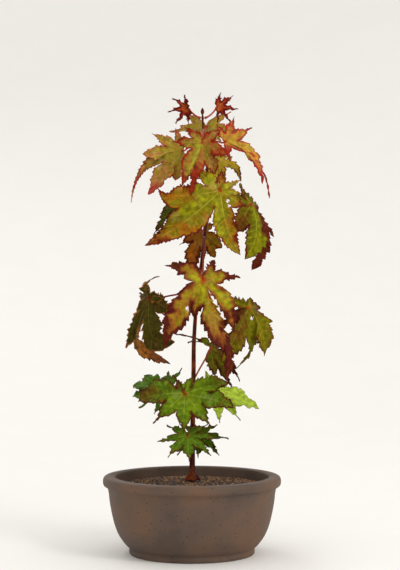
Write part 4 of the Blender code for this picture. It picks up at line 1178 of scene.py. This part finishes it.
def bark_tree(material, pore_material):
    """Fine lengthwise ridges on a stem, dotted with lenticels."""
    tree, given = shape_tree("bark_relief", [
        ("Relief", "Float", 0.1 * MM), ("Lenticel", "Float", 0.2 * MM), ("Foot", "Float", 0.0),
        ("Seed", "Int", 5)])
    place = add_node(tree, "GeometryNodeInputPosition")
    drawn_out = add_node(tree, "ShaderNodeVectorMath", {0: place, 1: (1.0, 1.0, 0.1)},
                         operation="MULTIPLY")
    ridges = add_node(tree, "ShaderNodeTexNoise", {
        "Vector": drawn_out, "Scale": 1.0 / (0.8 * MM), "Detail": 3.0})
    centred = add_node(tree, "ShaderNodeMath", {0: ridges, 1: 0.5}, operation="SUBTRACT")
    depth = add_node(tree, "ShaderNodeMath", {0: centred, 1: given["Relief"]},
                     operation="MULTIPLY")
    high = add_node(tree, "ShaderNodeSeparateXYZ", {0: place}, out="Z")
    above = add_node(tree, "FunctionNodeCompare", {0: high, 1: given["Foot"]},
                     data_type="FLOAT", operation="GREATER_THAN")
    normal = add_node(tree, "GeometryNodeInputNormal")
    offset = add_node(tree, "ShaderNodeVectorMath", {0: normal, "Scale": depth}, operation="SCALE")
    bark = add_node(tree, "GeometryNodeSetPosition", {
        "Geometry": given["Geometry"], "Selection": above, "Offset": offset})
    dressed = add_node(tree, "GeometryNodeSetMaterial", {"Geometry": bark, "Material": material})
    spread = add_node(tree, "GeometryNodeDistributePointsOnFaces", {
        "Mesh": bark, "Density": LENTICEL_DENSITY, "Seed": given["Seed"]}, out=None)
    pore = add_node(tree, "GeometryNodeMeshIcoSphere", {
        "Radius": given["Lenticel"], "Subdivisions": 1})
    size = add_node(tree, "FunctionNodeRandomValue", {
        "Min": (0.7, 0.7, 0.25), "Max": (1.0, 1.6, 0.4)}, data_type="FLOAT_VECTOR")
    pores = add_node(tree, "GeometryNodeInstanceOnPoints", {
        "Points": spread["Points"], "Instance": pore, "Rotation": spread["Rotation"],
        "Scale": size})
    real = add_node(tree, "GeometryNodeRealizeInstances", {"Geometry": pores})
    corky = add_node(tree, "GeometryNodeSetMaterial", {
        "Geometry": real, "Material": pore_material})
    whole = tree.nodes.new("GeometryNodeJoinGeometry")
    for part in (corky, dressed):
        tree.links.new(part, whole.inputs[0])
    smooth = add_node(tree, "GeometryNodeSetShadeSmooth", {"Geometry": whole.outputs[0]})
    add_node(tree, "NodeGroupOutput", {"Geometry": smooth}, out=None)
    return tree


class MAPLE_OT_stem(bpy.types.Operator):
    """Makes the stem with its bark relief, root flare, swollen nodes and end bud"""

    bl_idname = "maple.stem"
    bl_label = "Make the stem"

    def execute(self, context):
        settings = context.scene.maple_stem
        stem = add_object("young_stem", stem_mesh())
        apply_tree(stem, bark_tree(bark_material(settings), lenticel_material()), {
            "Relief": settings.relief, "Lenticel": settings.lenticel,
            "Foot": (STEM_FOOT + BARK_START) * MM})
        finish_piece(stem, "bark", "trunk")
        return {"FINISHED"}


# Pot and soil

def turned(name, profile, segments, material, flip=False):
    """A surface of revolution about the vertical axis, from (radius, height) points."""
    mesh = bpy.data.meshes.new(name)
    points = [(radius * MM, 0.0, height * MM) for radius, height in profile]
    mesh.from_pydata(points, [(i, i + 1) for i in range(len(points) - 1)], [])
    thing = add_object(name, mesh, material)
    screw = thing.modifiers.new("turn", "SCREW")
    screw.axis = "Z"
    screw.steps = screw.render_steps = segments
    screw.use_merge_vertices = True
    screw.merge_threshold = TURN_MERGE * MM
    screw.use_normal_flip = flip
    plain_mesh(thing)
    return thing


def turned_solid(name, profile, segments, material):
    """A closed solid of revolution with its faces outwards."""
    thing = turned(name, profile, segments, material)
    shape = bmesh.new()
    shape.from_mesh(thing.data)
    bmesh.ops.remove_doubles(shape, verts=shape.verts, dist=TURN_MERGE * MM)
    bmesh.ops.recalc_face_normals(shape, faces=shape.faces)
    shape.to_mesh(thing.data)
    shape.free()
    return thing


def softened(profile, step, ring_depth=0.0):
    """A profile with its corners rounded, in short steps, and faint throwing rings."""
    for _ in range(CORNER_CUTS):  # each cuts a corner at a quarter of the lines that meet there
        cut = [profile[0]]
        for (r0, h0), (r1, h1) in zip(profile, profile[1:]):
            cut.append((r0 * 0.75 + r1 * 0.25, h0 * 0.75 + h1 * 0.25))
            cut.append((r0 * 0.25 + r1 * 0.75, h0 * 0.25 + h1 * 0.75))
        profile = cut + [profile[-1]]
    fine = [profile[0]]
    for (r0, h0), (r1, h1) in zip(profile, profile[1:]):
        run = math.hypot(r1 - r0, h1 - h0)
        parts = max(1, int(run / step))
        upright = abs(h1 - h0) / max(run, 1e-6)
        for n in range(1, parts + 1):
            share = n / parts
            radius, height = r0 + (r1 - r0) * share, h0 + (h1 - h0) * share
            ripple = ring_depth * upright * math.sin(2.0 * math.pi * height / RING_PITCH)
            fine.append((max(radius - abs(ripple), 0.0), height))
    return fine


class MAPLE_OT_pot(bpy.types.Operator):
    """Makes the stoneware pot with softened edges and throwing rings"""

    bl_idname = "maple.pot"
    bl_label = "Make the pot"

    def execute(self, context):
        settings = context.scene.maple_pot
        outside = softened(POT_OUTSIDE, POT_STEPS[0], settings.ring_depth / MM)
        inside = softened(POT_INSIDE, POT_STEPS[1])
        profile = [(0.0, POT_INSIDE[0][1])] + inside + outside[::-1] + [(0.0, 0.0)]
        pot = turned_solid("stoneware_pot", profile, POT_SEGMENTS, stoneware_material(settings))
        finish_piece(pot, "stoneware", "pot")
        return {"FINISHED"}


def soil_height(radius):
    share = max(0.0, (radius - SOIL_FLAT_RADIUS) / (SOIL_RADIUS - SOIL_FLAT_RADIUS))
    return SOIL_TOP - SOIL_EDGE_DROP * share * share


def grain_tree(material):
    """Grains of soil scattered and half sunk over the bed's upward faces."""
    tree, given = shape_tree("soil_grains", [
        ("Grain", "Float", 1.0 * MM), ("Density", "Float", 1000.0), ("Seed", "Int", 1)])
    normal = add_node(tree, "GeometryNodeInputNormal")
    rise = add_node(tree, "ShaderNodeSeparateXYZ", {0: normal}, out="Z")
    upward = add_node(tree, "FunctionNodeCompare", {0: rise, 1: 0.8},
                      data_type="FLOAT", operation="GREATER_THAN")
    spread = add_node(tree, "GeometryNodeDistributePointsOnFaces", {
        "Mesh": given["Geometry"], "Selection": upward, "Density": given["Density"],
        "Seed": given["Seed"]}, out=None)
    grain = add_node(tree, "GeometryNodeMeshIcoSphere", {
        "Radius": given["Grain"], "Subdivisions": 1})
    size, turn = (
        add_node(tree, "FunctionNodeRandomValue", {"Min": least, "Max": most, "Seed": seed},
                 data_type="FLOAT_VECTOR")
        for least, most, seed in (
            ((0.35, 0.35, 0.3), (1.2, 1.0, 0.8), given["Seed"]),
            ((-0.5, -0.5, 0.0), (0.5, 0.5, 6.283), 11)))
    grains = add_node(tree, "GeometryNodeInstanceOnPoints", {
        "Points": spread["Points"], "Instance": grain, "Rotation": turn, "Scale": size})
    tone = add_node(tree, "FunctionNodeRandomValue", {"Seed": 4}, out=1, data_type="FLOAT")
    toned = add_node(tree, "GeometryNodeStoreNamedAttribute", {
        "Geometry": grains, "Name": "grain_tone", "Value": tone},
        data_type="FLOAT", domain="INSTANCE")
    real = add_node(tree, "GeometryNodeRealizeInstances", {"Geometry": toned})
    rough = add_node(tree, "ShaderNodeTexNoise", {"Scale": 1.0 / (0.9 * MM), "Detail": 1.0})
    lump = add_node(tree, "ShaderNodeMath", {0: rough, 1: 0.5 * MM, 2: -0.25 * MM},
                    operation="MULTIPLY_ADD")
    offset = add_node(tree, "ShaderNodeVectorMath", {0: normal, "Scale": lump}, operation="SCALE")
    lumpy = add_node(tree, "GeometryNodeSetPosition", {"Geometry": real, "Offset": offset})
    end_tree(tree, lumpy, material)
    return tree


class MAPLE_OT_soil(bpy.types.Operator):
    """Makes the soil bed and the grains that lie on it"""

    bl_idname = "maple.soil"
    bl_label = "Make the soil"

    def execute(self, context):
        settings = context.scene.maple_soil
        material = soil_material()
        radii = [SOIL_RADIUS * n / BED_RINGS for n in range(BED_RINGS + 1)]
        crown = [(radius, soil_height(radius) - GRAIN_STAND) for radius in radii]
        bed = turned_solid("soil_bed", crown + BED_SIDE, TURN_SEGMENTS, material)
        grains = add_object("soil_grains", bed.data.copy())
        grains.data.materials.clear()
        apply_tree(grains, grain_tree(material), {
            "Grain": settings.grain, "Density": settings.density, "Seed": settings.seed})
        finish_piece(bed, "soil", "soil")
        finish_piece(grains, "soil")
        return {"FINISHED"}


# Stage

class MAPLE_OT_stage(bpy.types.Operator):
    """Makes the pale floor, the studio lights and the camera"""

    bl_idname = "maple.stage"
    bl_label = "Make the stage"

    def execute(self, context):
        settings = context.scene.maple_stage
        profile = [(0.0, 0.0), (FLOOR_FLAT, 0.0)]
        for n in range(1, FLOOR_RINGS + 1):
            share = n / FLOOR_RINGS
            profile.append((
                FLOOR_FLAT + (FLOOR_REACH - FLOOR_FLAT) * share, FLOOR_RISE * share**FLOOR_CURVE))
        paper = paper_material(settings)
        turned("paper_floor", profile, TURN_SEGMENTS, paper, flip=True)
        world = bpy.data.worlds.new("soft_room")
        world.use_nodes = True
        sky = world.node_tree.nodes["Background"]
        sky.inputs["Color"].default_value = linear("#FDFCFA")
        sky.inputs["Strength"].default_value = settings.room
        context.scene.world = world
        for name, place, size, colour, power in LIGHTS:
            lamp = bpy.data.lights.new(name, "AREA")
            lamp.shape = "DISK"
            lamp.size = size
            lamp.energy = getattr(settings, power)
            lamp.color = colour
            light = add_object(name, lamp)
            light.location = place
            towards = Vector(LIGHT_AIM) - Vector(place)
            light.rotation_euler = towards.to_track_quat("-Z", "Y").to_euler()
            light.visible_camera = False
        camera = bpy.data.cameras.new("front_camera")
        camera.lens = CAMERA_LENS
        camera.sensor_width = CAMERA_SENSOR
        eye = add_object("front_camera", camera)
        eye.location = (EYE_X * MM, -settings.camera_distance, (EYE_Z - CAMERA_DROP) * MM)
        eye.rotation_euler = (math.radians(90.0), 0.0, 0.0)
        context.scene.camera = eye
        context.scene.view_settings.view_transform = "Standard"
        return {"FINISHED"}


class MAPLE_PT_panel(bpy.types.Panel):
    """Lists what the add-on makes, with the settings of each"""

    bl_idname = "MAPLE_PT_panel"
    bl_label = "Potted Maple"
    bl_space_type = "VIEW_3D"
    bl_region_type = "UI"
    bl_category = "Maple"

    def draw(self, context):
        for operator, settings, group in STEPS:
            box = self.layout.box()
            box.operator(operator.bl_idname)
            for name in group.__annotations__:
                box.prop(getattr(context.scene, settings), name)


STEPS = [
    (MAPLE_OT_stage, "maple_stage", MapleStageSettings),
    (MAPLE_OT_pot, "maple_pot", MaplePotSettings),
    (MAPLE_OT_soil, "maple_soil", MapleSoilSettings),
    (MAPLE_OT_stem, "maple_stem", MapleStemSettings),
    (MAPLE_OT_leaves, "maple_leaves", MapleLeafSettings),
]


def register():
    for operator, settings, group in STEPS:
        bpy.utils.register_class(group)
        setattr(bpy.types.Scene, settings, PointerProperty(type=group))
        bpy.utils.register_class(operator)
    bpy.utils.register_class(MAPLE_PT_panel)


def unregister():
    bpy.utils.unregister_class(MAPLE_PT_panel)
    for operator, settings, group in reversed(STEPS):
        bpy.utils.unregister_class(operator)
        delattr(bpy.types.Scene, settings)
        bpy.utils.unregister_class(group)


def main():
    register()
    for operator, _, _ in STEPS:
        family, name = operator.bl_idname.split(".")
        getattr(getattr(bpy.ops, family), name)()


if __name__ == "__main__":
    main()
